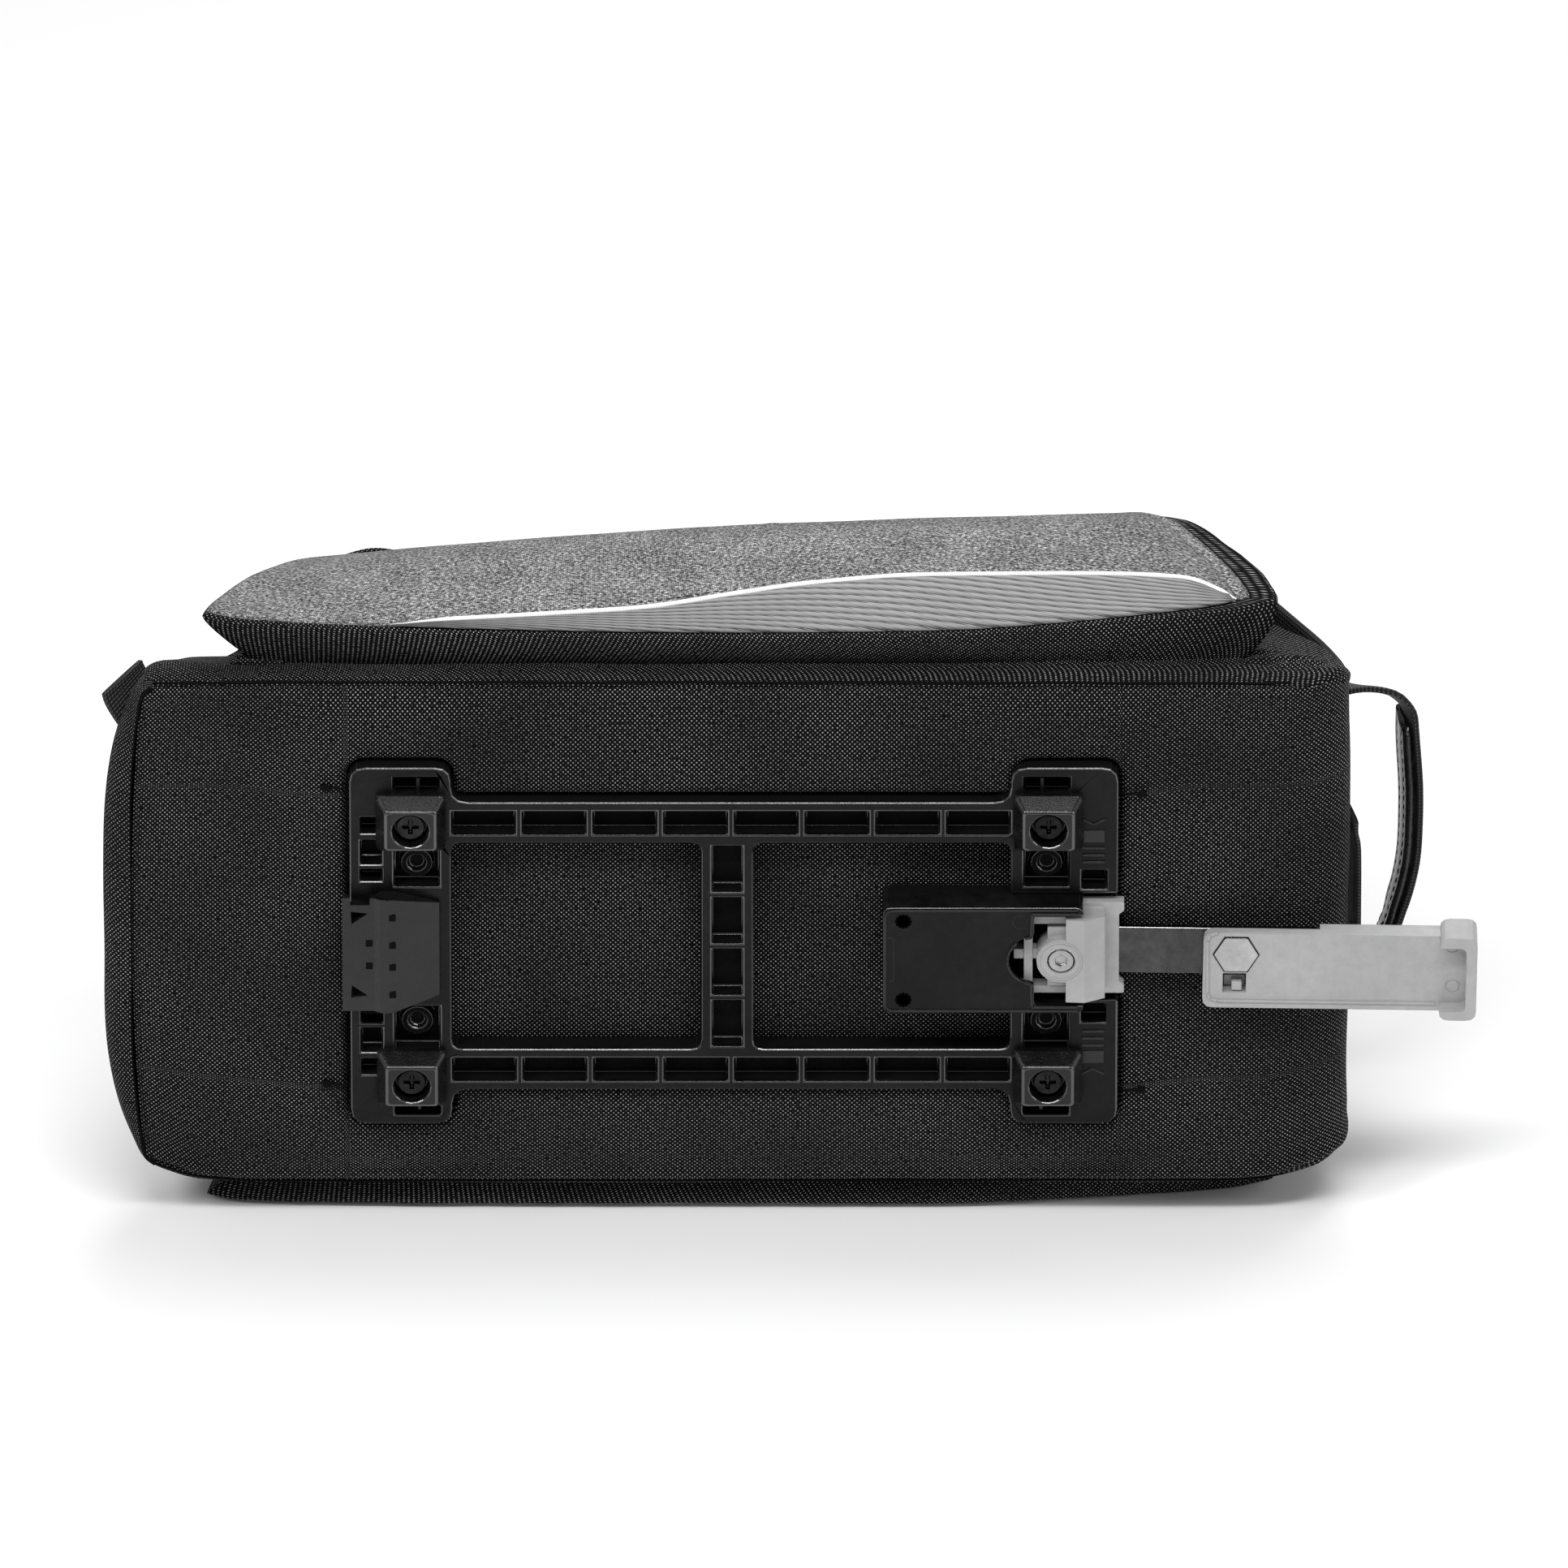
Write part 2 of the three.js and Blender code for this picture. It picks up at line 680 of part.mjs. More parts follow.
// Clamp plate: two end pieces joined by two rails and a middle post, with moulded recesses
function makePlate() {
  const r = plateCorner;
  const outline = roundedShape([
    [-plateLeft, halfEnd, r], [leftInner, halfEnd, r], [leftInner, halfRail, r],
    [rightInner, halfRail, r], [rightInner, halfEnd, r], [plateRight, halfEnd, r],
    [plateRight, -halfEnd, r], [rightInner, -halfEnd, r], [rightInner, -halfRail, r],
    [leftInner, -halfRail, r], [leftInner, -halfEnd, r], [-plateLeft, -halfEnd, r],
  ]);
  outline.holes.push(rectangle(leftInner, -halfPost, -halfWindow, halfWindow, 3, THREE.Path));
  outline.holes.push(rectangle(halfPost, rightInner, -halfWindow, halfWindow, 3, THREE.Path));
  const body = panel(outline, plateFront, plateBack);
  const floor = plateFront + recessDepth;
  const recesses = [];
  const recess = (x0, x1, z0, z1) => {
    recesses.push(block(x0, x1, plateFront - 1, floor, z0, z1));
    recesses.push(block(x0, x1, plateFront - 1, floor, -z1, -z0));
  };
  const railMiddle = (halfRail + halfWindow) / 2;
  const cells = 8;
  const cellPitch = (rightInner - leftInner + railRib) / cells;
  for (let i = 0; i < cells; i += 1) {
    const x0 = leftInner + i * cellPitch;
    recess(x0, x0 + cellPitch - railRib, railMiddle - railRecessHeight / 2, railMiddle + railRecessHeight / 2);
  }
  const postPitch = 2 * halfWindow / 4;
  for (let i = 0; i < 2; i += 1) {
    recess(-4.6, 4.6, i * postPitch + railRib / 2, (i + 1) * postPitch - railRib / 2);
  }
  const endColumns = [-blockPitchX / 2 + 2.4, blockPitchX / 2 + 0.2];
  for (const x of endColumns) {
    const [x0, x1] = [x - endRecessLength / 2, x + endRecessLength / 2];
    recess(x0, x1, halfEnd - plateRim - endRecessHeight, halfEnd - plateRim);
    recess(x0, x1, halfHousing + 2.5, halfWindow + 0.5);
  }
  for (const [low, high] of [[4.3, 8.3], [10, 18.3], [20.6, 26]]) {
    const start = -plateLeft + plateRim;
    recess(start, start + endRecessHeight, halfHousing + low, halfHousing + high);
  }
  recess(plateRight - 10.8, plateRight - 3.4, halfHousing + 1.6, halfHousing + 8);
  const bay = block(
    rightInner - 1, plateRight + 1,
    plateFront - 1, housingBack + fitGap,
    -halfHousing - fitGap, halfHousing + fitGap,
  );
  const bosses = [];
  for (const x of endColumns) {
    for (const z of [bossPlace, -bossPlace]) {
      bosses.push(cut(
        pin(x, z, bossRadius, floor - 2.6, floor + 0.5),
        pin(x, z, bossBore, floor - 3, floor - 1, 12),
      ));
    }
  }
  return join(cut(body, ...recesses, bay), ...bosses);
}

// Clamp block: a tapered foot with a countersunk screw hole
function makeClampBlock(place) {
  const ring = (y, halfX, halfZ, corner) => {
    const shape = rectangle(-halfX, halfX, -halfZ, halfZ, corner);
    return shape.getPoints(2).slice(0, -1).map((p) => new THREE.Vector3(place.x + p.x, y, place.z + p.y));
  };
  const back = plateFront - fitGap;
  const front = plateFront - blockRise;
  const body = loft([
    ring(back, blockLength / 2, blockWidth / 2, 1.5),
    ring(back - 2.4, blockLength / 2, blockWidth / 2, 1.5),
    ring(front + 0.6, blockTopLength / 2 + 0.5, blockTopWidth / 2 + 0.5, 1.2),
    ring(front, blockTopLength / 2, blockTopWidth / 2, 1),
  ]);
  return cut(body, pin(place.x, place.z, counterboreRadius, front - 1, back - 1.6, 20));
}

// Screw in a clamp block, with a cross recess
function makeBlockScrew(place) {
  const back = plateFront - fitGap - 1.6 - fitGap;
  const head = pin(place.x, place.z, screwHeadRadius, back - 3, back, 16);
  const deep = back - 1.4;
  const long = screwHeadRadius * 0.55;
  const thin = crossArmWidth / 2;
  const across = block(place.x - long, place.x + long, back - 4, deep, place.z - thin, place.z + thin);
  const upright = block(place.x - thin, place.x + thin, back - 4, deep, place.z - long, place.z + long);
  return cut(head, across, upright);
}

// Hook at the nose end: a ramp on the plate with a lip that reaches over the rack's edge
function makeHook() {
  const foot = plateFront - fitGap;
  const top = plateFront - hookRise;
  const left = -plateLeft - hookOverhang;
  const lipTop = top + hookStep;
  const lipEnd = left + hookLipLength;
  const rampEnd = leftInner - 3.6;
  const profile = new THREE.Shape([
    [left, lipTop], [left, lipTop + hookLip], [lipEnd, lipTop + hookLip],
    [lipEnd + 1.8, foot], [rampEnd, foot], [rampEnd, foot - 0.9],
    [lipEnd + 6, top + 0.5], [lipEnd + 3.8, top], [lipEnd + 1.6, top + 0.5], [lipEnd - 0.2, lipTop],
  ].map(([x, y]) => new THREE.Vector2(x, y)));
  const half = hookWidth / 2;
  const body = uprightPanel(profile, -half, half);
  const slant = (sign) => {
    const shape = new THREE.Shape([
      [left + 15, sign * (half + 0.01)], [leftInner, sign * (half + 0.01)], [leftInner, sign * (half - 4.4)],
    ].map(([x, z]) => new THREE.Vector2(x, z)));
    return panel(shape, top - 3, foot + 1);
  };
  const vent = (sign) => {
    const shape = new THREE.Shape([
      [left + 2.6, sign * (half - 4.6)], [left + 7.6, sign * (half - 5.2)], [left + 2.8, sign * (half - 8.8)],
    ].map(([x, z]) => new THREE.Vector2(x, z)));
    return panel(shape, top - 3, lipTop + hookLip + 1);
  };
  const notch = block(left + 2.4, left + 8.2, top - 3, lipTop + hookLip + 1, half - 2.4, half + 1);
  return cut(body, vent(1), vent(-1), notch, ...[1, -1].map(slant));
}

// Slider housing: a shallow box over the plate with a mouth for the clamp jaw
function makeHousing() {
  const box = panel(
    rectangle(housingStart, housingEnd, -halfHousing, halfHousing, 2.4),
    housingFront, housingBack,
  );
  const inside = block(
    housingStart + housingWall, housingEnd + 1,
    housingFront + housingWall, housingBack - housingWall,
    -halfHousing + housingWall, halfHousing - housingWall,
  );
  const mouthHalf = halfHousing - 2.4;
  const mouthStart = housingEnd - mouthLength;
  const mouth = roundedShape([
    [housingEnd + 1, mouthHalf, 0], [mouthStart, mouthHalf, 1.5], [mouthStart, 8, 1.5],
    [mouthStart - 4, 7.4, 3], [mouthStart - 7.6, 3, 4], [mouthStart - 7.6, -3, 4],
    [mouthStart - 4, -7.4, 3], [mouthStart, -8, 1.5], [mouthStart, -mouthHalf, 1.5],
    [housingEnd + 1, -mouthHalf, 0],
  ]);
  return cut(box, inside, panel(mouth, housingFront - 1, housingFront + housingWall + 1));
}

const jawScrewX = housingEnd - 6.6;
const stripFront = plateFront + 0.9;
const stripBack = stripFront + stripThickness;
const halfStrip = stripWidth / 2;

// Clamp jaw: a bar that grips the rack, on a carriage that slides in the housing
function makeJaw() {
  const front = housingFront - 0.5;
  const carriageFront = housingFront + housingWall + slideGap;
  const carriageBack = plateFront - slideGap;
  const half = jawBarWidth / 2;
  const capEnd = jawScrewX + jawCapLength;
  const barProfile = new THREE.Shape([
    [jawScrewX + 1.4, carriageFront], [jawScrewX + 1.4, front], [capEnd - 6, front - 0.4],
    [capEnd, front + 2.6], [capEnd, plateFront], [capEnd - 8, plateFront],
  ].map(([x, y]) => new THREE.Vector2(x, y)));
  const bar = uprightPanel(barProfile, -half, half);
  const boss = pin(jawScrewX, 0, jawBossRadius, front, carriageBack, 20);
  const core = block(jawScrewX - 4, capEnd - 5, carriageFront, carriageBack, -half + 4, half - 4);
  const wide = jawFlangeWidth / 2;
  const flangeEnd = jawScrewX + jawFlangeLength;
  const flange = panel(roundedShape([
    [capEnd - 7, wide, 0.5], [flangeEnd, wide, 0.5], [flangeEnd, wide - 2.9, 0.5],
    [flangeEnd - 1.5, wide - 4, 0.5], [flangeEnd - 1.5, -wide + 4, 0.5], [flangeEnd, -wide + 2.9, 0.5],
    [flangeEnd, -wide, 0.5], [capEnd - 7, -wide, 0.5],
  ]), plateFront - 0.6, housingBack - housingWall - slideGap);
  const armOut = half - 1;
  const armIn = armOut - jawArmWidth;
  const armStart = jawScrewX - clampTravel;
  const arms = [[armIn, armOut], [-armOut, -armIn]].map(([low, high]) => block(
    armStart - 2, jawScrewX + 3, carriageFront + 1, carriageBack, low, high,
  ));
  const spine = block(armStart - 1, armStart + 1.6, carriageFront + 1, carriageBack, -armOut, armOut);
  const neck = block(armStart - 4, jawScrewX, carriageFront + 1.6, carriageBack, -1.6, 1.6);
  const slot = block(
    jawScrewX - 2, jawScrewX + 30,
    stripFront - fitGap, stripBack + fitGap,
    -stripDrop - halfStrip - fitGap - 0.3, -stripDrop + halfStrip + fitGap + 0.3,
  );
  const screwHole = pin(jawScrewX, 0, 4.2, front - 1, front + 2.2, 16);
  return cut(join(bar, boss, core, flange, ...arms, spine, neck), slot, screwHole);
}

// Screw through the jaw's boss
function makeJawScrew() {
  const front = housingFront - 0.5;
  const head = pin(jawScrewX, 0, 3.8, front + 0.2, front + 1.9, 16);
  return cut(head, pin(jawScrewX, 0, 1.9, front - 1, front + 1.2, 6));
}

// Steel strip from the jaw to the handle
function makePullStrip() {
  return panel(
    rectangle(jawScrewX + 2, handleStart + stripGrip, -stripDrop - halfStrip, -stripDrop + halfStrip, 1),
    stripFront, stripBack,
  );
}

const handleTop = -stripDrop + halfStrip + 0.4;
const handleBottom = handleTop - handleWidth;
const handleEnd = handleStart + handleLength;
const handleFront = plateFront - 2.8;
const handleBack = handleFront + handleThickness;
const boltX = handleStart + boltSetback;
const boltZ = -0.5;

// Pull handle: a long grip with a raised lip at its end
function makePullHandle() {
  const grip = rectangle(handleStart, handleEnd - 4, handleBottom, handleTop, handleCorner);
  const body = panel(grip, handleFront, handleBack);
  const lip = panel(
    rectangle(handleEnd - handleLipLength, handleEnd, handleBottom - 0.3, handleTop + 2.4, handleCorner),
    handleFront - handleLipRise, handleBack,
  );
  const palm = panel(
    rectangle(handleEnd - 2 * handleLipLength, handleEnd - 3.2, handleBottom + 2.6, handleTop - 1.2, 2),
    handleFront - handleLipRise - 1, handleFront,
  );
  const slot = block(
    handleStart - 1, handleStart + stripGrip + 0.4,
    stripFront - fitGap, handleBack + 1,
    -stripDrop - halfStrip - fitGap, handleTop + 1,
  );
  const boltSeat = panel(hexagon(boltAcrossFlats + 0.8), handleFront - 1, handleFront + 1.6);
  const windowCut = block(boltX - 3.8, boltX + 3.1, handleFront - 1, handleBack + 1, -13.5, -6.9);
  return cut(join(body, lip), palm, slot, boltSeat, windowCut);
}

// Six-sided outline round the bolt's place, with a corner on each side
function hexagon(acrossFlats) {
  const radius = acrossFlats / Math.sqrt(3);
  const points = [];
  for (let i = 0; i < 6; i += 1) {
    points.push(new THREE.Vector2(
      boltX + radius * Math.cos(i * Math.PI / 3),
      boltZ + radius * Math.sin(i * Math.PI / 3),
    ));
  }
  return new THREE.Shape(points);
}

// Bolt that holds the handle to the strip
function makeHexBolt() {
  return panel(hexagon(boltAcrossFlats), handleFront - 0.3, handleFront + 1.6 - fitGap);
}

// Snap tongue in the handle's window, standing on the strip's lower edge
function makeSnapTongue() {
  const stripEdge = -stripDrop - halfStrip - fitGap;
  const bridge = block(boltX - 3.5, boltX + 2.8, handleBack - 2.6, handleBack - 0.2, -13.2, stripEdge);
  const tongue = block(boltX - 1.2, boltX + 1.9, handleFront + 0.6, handleBack - 2, -13.2, -10.2);
  return join(bridge, tongue);
}

// A place on the tail end panel: up the panel, off it along X, and across
function onTail(y, off, z) {
  return new THREE.Vector3(tailFace(y) + off, y, z);
}
const tailSlope = new THREE.Vector3(
  tailFace(0.6 * tailHeight) - tailFace(0.4 * tailHeight), 0.2 * tailHeight, 0,
).normalize();

// The carry handle's route: off is a share of its reach, across a share of half its span
const carryRoute = [
  { off: 0.010, across: 1.00 },
  { off: 0.015, across: 0.86 },
  { off: 0.250, across: 0.78 },
  { off: 0.700, across: 0.76 },
  { off: 0.860, across: 0.71 },
  { off: 0.940, across: 0.60 },
  { off: 0.990, across: 0.32 },
  { off: 1.000, across: 0.06 },
  { off: 0.980, across: -0.18 },
  { off: 0.910, across: -0.40 },
  { off: 0.800, across: -0.58 },
  { off: 0.560, across: -0.71 },
  { off: 0.220, across: -0.80 },
  { off: 0.015, across: -0.88 },
  { off: 0.010, across: -1.00 },
];
function carryPath(from, to, inset, samples) {
  const curve = new THREE.CatmullRomCurve3(carryRoute.map((row) => onTail(
    carryHeight,
    row.off * carryReach + webbingWall / 2,
    row.across * carrySpan / 2,
  )));
  const path = [];
  for (let i = 0; i <= samples; i += 1) {
    const t = mix(from, to, i / samples);
    const along = curve.getTangent(t);
    const inward = new THREE.Vector3().crossVectors(tailSlope, along).normalize();
    if (inward.x > 0) {
      inward.negate();
    }
    path.push(curve.getPoint(t).addScaledVector(inward, inset));
  }
  return path;
}

// Carry handle: webbing sewn flat to the tail panel at both ends
function makeCarryHandle() {
  return strap(carryPath(0, 1, 0, 30), tailSlope, webbingWidth, webbingWall);
}

// Grip pad on the inner face of the carry handle
function makeGripPad() {
  const offset = webbingWall + fitGap;
  return strap(carryPath(0.33, 0.76, offset, 14), tailSlope, gripPadWidth, webbingWall);
}

// Low webbing loop across the tail panel, for a rear light
function makeLightLoop() {
  const half = lightLoopSpan / 2;
  const rows = [
    { off: 0.1, across: 1 }, { off: 0.1, across: 0.86 }, { off: 1, across: 0.66 },
    { off: 1.15, across: 0 }, { off: 1, across: -0.66 }, { off: 0.1, across: -0.86 }, { off: 0.1, across: -1 },
  ];
  const lift = webbingWall / 2 + fitGap;
  const path = rows.map((row) => onTail(lightLoopHeight, row.off * lightLoopRise + lift, row.across * half));
  const [low, high] = [lightLoopHeight - 8, lightLoopHeight + 8];
  const slope = new THREE.Vector3(tailFace(high) - tailFace(low), high - low, 0);
  return strap(path, slope, lightLoopWidth, webbingWall);
}

// Webbing strap up the edge of the tail panel, standing off it in the middle
function makeCornerStrap() {
  const rows = [
    { up: 0.157, off: 0, across: 0.772 }, { up: 0.229, off: 0.3, across: 0.765 },
    { up: 0.343, off: 1, across: 0.756 }, { up: 0.471, off: 1.2, across: 0.737 },
    { up: 0.586, off: 1, across: 0.702 }, { up: 0.686, off: 0.3, across: 0.671 },
    { up: 0.757, off: 0, across: 0.643 },
  ];
  const lift = webbingWall / 2 + fitGap + 0.1;
  const path = rows.map((row) => onTail(
    row.up * tailHeight, row.off * cornerStrapRise + lift, row.across * halfWidth,
  ));
  return strap(path, new THREE.Vector3(0, 0, 1), cornerStrapWidth, webbingWall);
}

// Doubled webbing tab at the upper edge of the nose panel
function makeNoseTab() {
  const up = 0.157 * noseHeight;
  const across = 0.842 * halfWidth;
  const start = new THREE.Vector3(noseFace(up, across) - 0.2, up, across);
  const out = new THREE.Vector3(-0.82, 0.1, 0.56).normalize();
  const path = [start.clone().addScaledVector(out, 1.4), start.clone().addScaledVector(out, noseTabReach)];
  return strap(path, new THREE.Vector3(-0.44, 0, -0.9), noseTabWidth, webbingWall);
}

// The part, as one group of named pieces
function piece(name, geometry, finish) {
  const mesh = new THREE.Mesh(geometry, new THREE.MeshStandardMaterial(finish));
  mesh.name = name;
  return mesh;
}

const bag = new THREE.Group();
const form = bodyForm();
bag.add(piece('body_shell', makeBodyShell(), cloth));
bag.add(piece('lid_zip', makeLidZip(), zipPlastic));
bag.add(piece('lid', makeLid(), cloth));
bag.add(piece('lid_zip_pull', makeZipPull(), zipPlastic));
for (const [where, side] of [['upper', 1], ['lower', -1]]) {
  const face = makeFacePanels(side);
  bag.add(piece(`pocket_gusset_${where}`, makeGusset(side, form), cloth));
  bag.add(piece(`heather_panel_${where}`, face.heather, heather));
  bag.add(piece(`ribbed_panel_${where}`, face.ribbed, ribbedVinyl));
  bag.add(piece(`piping_${where}`, makePiping(side), whitePiping));
}
bag.add(piece('adapter_plate', makePlate(), blackPlastic));
for (const place of blockPlaces) {
  bag.add(piece(`clamp_block_${place.name}`, makeClampBlock(place), blackPlastic));
  bag.add(piece(`block_screw_${place.name}`, makeBlockScrew(place), blackPlastic));
}
bag.add(piece('rack_hook', makeHook(), blackPlastic));
bag.add(piece('slider_housing', makeHousing(), blackPlastic));
bag.add(piece('clamp_jaw', makeJaw(), greyPlastic));
bag.add(piece('jaw_screw', makeJawScrew(), steel));

// The lever hangs a little below the level, turned about the jaw
const lever = new THREE.Group();
const leverArm = new THREE.Group();
lever.position.set(jawScrewX + leverPivotReach, 0, 0);
lever.rotation.y = THREE.MathUtils.degToRad(leverDroopDeg);
leverArm.position.set(-jawScrewX - leverPivotReach, 0, 0);
lever.add(leverArm);
bag.add(lever);
leverArm.add(piece('pull_strip', makePullStrip(), steel));
leverArm.add(piece('pull_handle', makePullHandle(), greyPlastic));
leverArm.add(piece('hex_bolt', makeHexBolt(), steel));
leverArm.add(piece('snap_tongue', makeSnapTongue(), greyPlastic));

bag.add(piece('carry_handle', makeCarryHandle(), webbing));
bag.add(piece('grip_pad', makeGripPad(), glossVinyl));
bag.add(piece('light_loop', makeLightLoop(), webbing));
bag.add(piece('corner_strap', makeCornerStrap(), webbing));
bag.add(piece('nose_tab', makeNoseTab(), webbing));

// Set down: the origin is the middle of the box's bottom face
const group = new THREE.Group();
group.add(bag);
group.updateMatrixWorld(true);
const bounds = new THREE.Box3().setFromObject(bag, true);
bag.position.set(
  -(bounds.min.x + bounds.max.x) / 2,
  -(bounds.min.y + bounds.max.y) / 2,
  -bounds.min.z,
);

export default group;
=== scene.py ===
# %% [markdown]
# A bicycle trunk bag lies on its side. The hard clamp plate on its base, with its screws, hook and
# pull lever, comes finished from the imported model, so this lesson only gives it edges and finishes.
# The cloth is made here: one sewn panel at a time, as a bag maker cuts and joins it. That way every
# panel has its own weave direction and its own seams, which a single smooth shell would lose.

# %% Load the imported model
import math
from bisect import bisect_right

import bmesh
import bpy
from mathutils import Matrix, Vector, noise
from mathutils.bvhtree import BVHTree


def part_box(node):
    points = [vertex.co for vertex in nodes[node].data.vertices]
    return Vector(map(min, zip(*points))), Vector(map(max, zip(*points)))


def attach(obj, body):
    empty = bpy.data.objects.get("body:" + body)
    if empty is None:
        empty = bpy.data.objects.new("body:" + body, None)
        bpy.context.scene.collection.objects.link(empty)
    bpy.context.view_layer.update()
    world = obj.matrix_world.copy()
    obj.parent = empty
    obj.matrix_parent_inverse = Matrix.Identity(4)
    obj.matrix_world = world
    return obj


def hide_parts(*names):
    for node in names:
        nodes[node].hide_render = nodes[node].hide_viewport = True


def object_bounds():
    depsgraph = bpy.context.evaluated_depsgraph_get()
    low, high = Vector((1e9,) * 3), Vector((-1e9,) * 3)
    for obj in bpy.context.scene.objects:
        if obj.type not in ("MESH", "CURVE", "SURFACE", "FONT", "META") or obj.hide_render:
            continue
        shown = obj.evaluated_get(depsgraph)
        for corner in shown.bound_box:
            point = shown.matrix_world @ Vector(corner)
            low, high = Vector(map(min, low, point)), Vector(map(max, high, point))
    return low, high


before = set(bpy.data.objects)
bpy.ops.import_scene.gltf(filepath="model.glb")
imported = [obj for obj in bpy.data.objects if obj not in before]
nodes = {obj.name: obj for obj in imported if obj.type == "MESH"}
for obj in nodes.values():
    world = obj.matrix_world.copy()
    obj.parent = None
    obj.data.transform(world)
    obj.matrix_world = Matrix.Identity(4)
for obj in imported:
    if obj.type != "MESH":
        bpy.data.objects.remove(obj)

cad_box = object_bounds()
print("packed pieces:", len(nodes), "model box:", [round(c, 4) for corner in cad_box for c in corner])

# %% [markdown]
# The bag is drawn in its own millimetres: X runs along it, Y goes up from the base panel, and Z is
# measured from its middle plane. One helper turns such a place into the model's metres. It takes its
# starting point from the clamp plate, so the cloth stays with the hard parts if they ever move.

# %% Places on the bag
plate_low, plate_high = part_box("adapter_plate")
bag_origin = Vector((plate_low.x + 0.1118, plate_high.y + 0.0003, (plate_low.z + plate_high.z) / 2))


def on_bag(x, y, z):
    """A place in bag millimetres, as metres in the model."""
    return bag_origin + Vector((x, y, z)) / 1000


print("bag origin:", [round(c, 4) for c in bag_origin])

# %% [markdown]
# The camera looks down at the base panel at thirty degrees through a long lens, because round screw
# heads look hardly squeezed in the reference. A distant camera with a long lens gives the same calm
# perspective as a product photographer's set.

# %% Camera
camera_data = bpy.data.cameras.new("product_camera")
camera = bpy.data.objects.new("product_camera", camera_data)
bpy.context.scene.collection.objects.link(camera)
bpy.context.scene.camera = camera
look_at = Vector((-0.0011, -0.0579, 0.150))
tilt = math.radians(30)
camera_distance = 12.0
view_width = 0.46368
away = Vector((0, -math.cos(tilt), math.sin(tilt)))
camera.location = look_at + away * camera_distance
camera.rotation_mode = "QUATERNION"
camera.rotation_quaternion = (-away).to_track_quat("-Z", "Y")
camera_data.sensor_width = 36
camera_data.lens = camera_data.sensor_width * camera_distance / view_width
camera_data.clip_end = 50
print("lens:", round(camera_data.lens, 1), "mm")

# %% [markdown]
# A pale floor and four soft lamps stand in for the studio. The one high on the left draws the weave,
# a low wide one in front puts a line of light on the plate's edges, the one behind lights the upper
# pocket, and the right one opens the shadows. Black cloth needs large lamps close by, or its threads
# would not catch any light.

# %% Floor and lamps
scene = bpy.context.scene
floor_mesh = bmesh.new()
bmesh.ops.create_grid(floor_mesh, x_segments=1, y_segments=1, size=6)
bmesh.ops.translate(floor_mesh, verts=floor_mesh.verts, vec=(0, 0, cad_box[0].z - 0.0002))
floor_data = bpy.data.meshes.new("studio_floor")
floor_mesh.to_mesh(floor_data)
floor_mesh.free()
floor = bpy.data.objects.new("studio_floor", floor_data)
scene.collection.objects.link(floor)
paper = bpy.data.materials.new("pale_paper")
paper.use_nodes = True
paper_shader = paper.node_tree.nodes["Principled BSDF"].inputs
paper_shader["Base Color"].default_value = (0.92, 0.92, 0.92, 1)
paper_shader["Roughness"].default_value = 0.9
floor_data.materials.append(paper)

world = bpy.data.worlds.new("studio")
world.use_nodes = True
sky = world.node_tree.nodes["Background"].inputs
sky["Color"].default_value = (1, 1, 1, 1)
sky["Strength"].default_value = 0.3
scene.world = world


def lamp(name, place, size, watts, height=None):
    """A soft lamp aimed at the bag, square unless it has its own height."""
    data = bpy.data.lights.new(name, "AREA")
    data.shape = "RECTANGLE"
    data.size = size
    data.size_y = height or size
    data.energy = watts
    thing = bpy.data.objects.new(name, data)
    thing.location = place
    thing.rotation_mode = "QUATERNION"
    thing.rotation_quaternion = (Vector((0, -0.02, 0.1)) - Vector(place)).to_track_quat("-Z", "Y")
    scene.collection.objects.link(thing)


lamp("key_lamp", (-0.95, -0.75, 1.2), 0.45, 9)
lamp("front_lamp", (0.1, -0.8, 1.35), 1.1, 11, 0.16)
lamp("top_lamp", (0.2, 0.5, 1.45), 1.0, 14)
lamp("side_lamp", (1.2, -0.6, 0.7), 0.5, 2.5)
scene.view_settings.view_transform = "Standard"
scene.view_settings.look = "None"

# %% [markdown]
# Shader nodes are wired with a few small helpers: one places a node, some do arithmetic, and one
# opens a node group with named sockets. Effects that several finishes share, such as the basket
# weave, are built once as a group and then placed in each material with its own values.

# %% Helpers for shader nodes
def place_node(tree, kind, **settings):
    """Adds a node and sets its properties."""
    node = tree.nodes.new(kind)
    for key, value in settings.items():
        setattr(node, key, value)
    return node


def feed(tree, socket, value):
    """Links a socket, or sets it where the value is a number."""
    if isinstance(value, bpy.types.NodeSocket):
        tree.links.new(value, socket)
    else:
        socket.default_value = value


def calc(tree, operation, *values):
    """A math node fed with numbers or sockets."""
    node = place_node(tree, "ShaderNodeMath", operation=operation)
    for socket, value in zip(node.inputs, values):
        feed(tree, socket, value)
    return node.outputs[0]


def vector_calc(tree, operation, first, second):
    """A vector math node; a scale takes a number as its second value."""
    node = place_node(tree, "ShaderNodeVectorMath", operation=operation)
    feed(tree, node.inputs[0], first)
    feed(tree, node.inputs["Scale" if operation == "SCALE" else 1], second)
    return node.outputs[0]


def parts_of(tree, vector):
    """The numbers that a vector is made of."""
    split = place_node(tree, "ShaderNodeSeparateXYZ")
    feed(tree, split.inputs[0], vector)
    return split.outputs


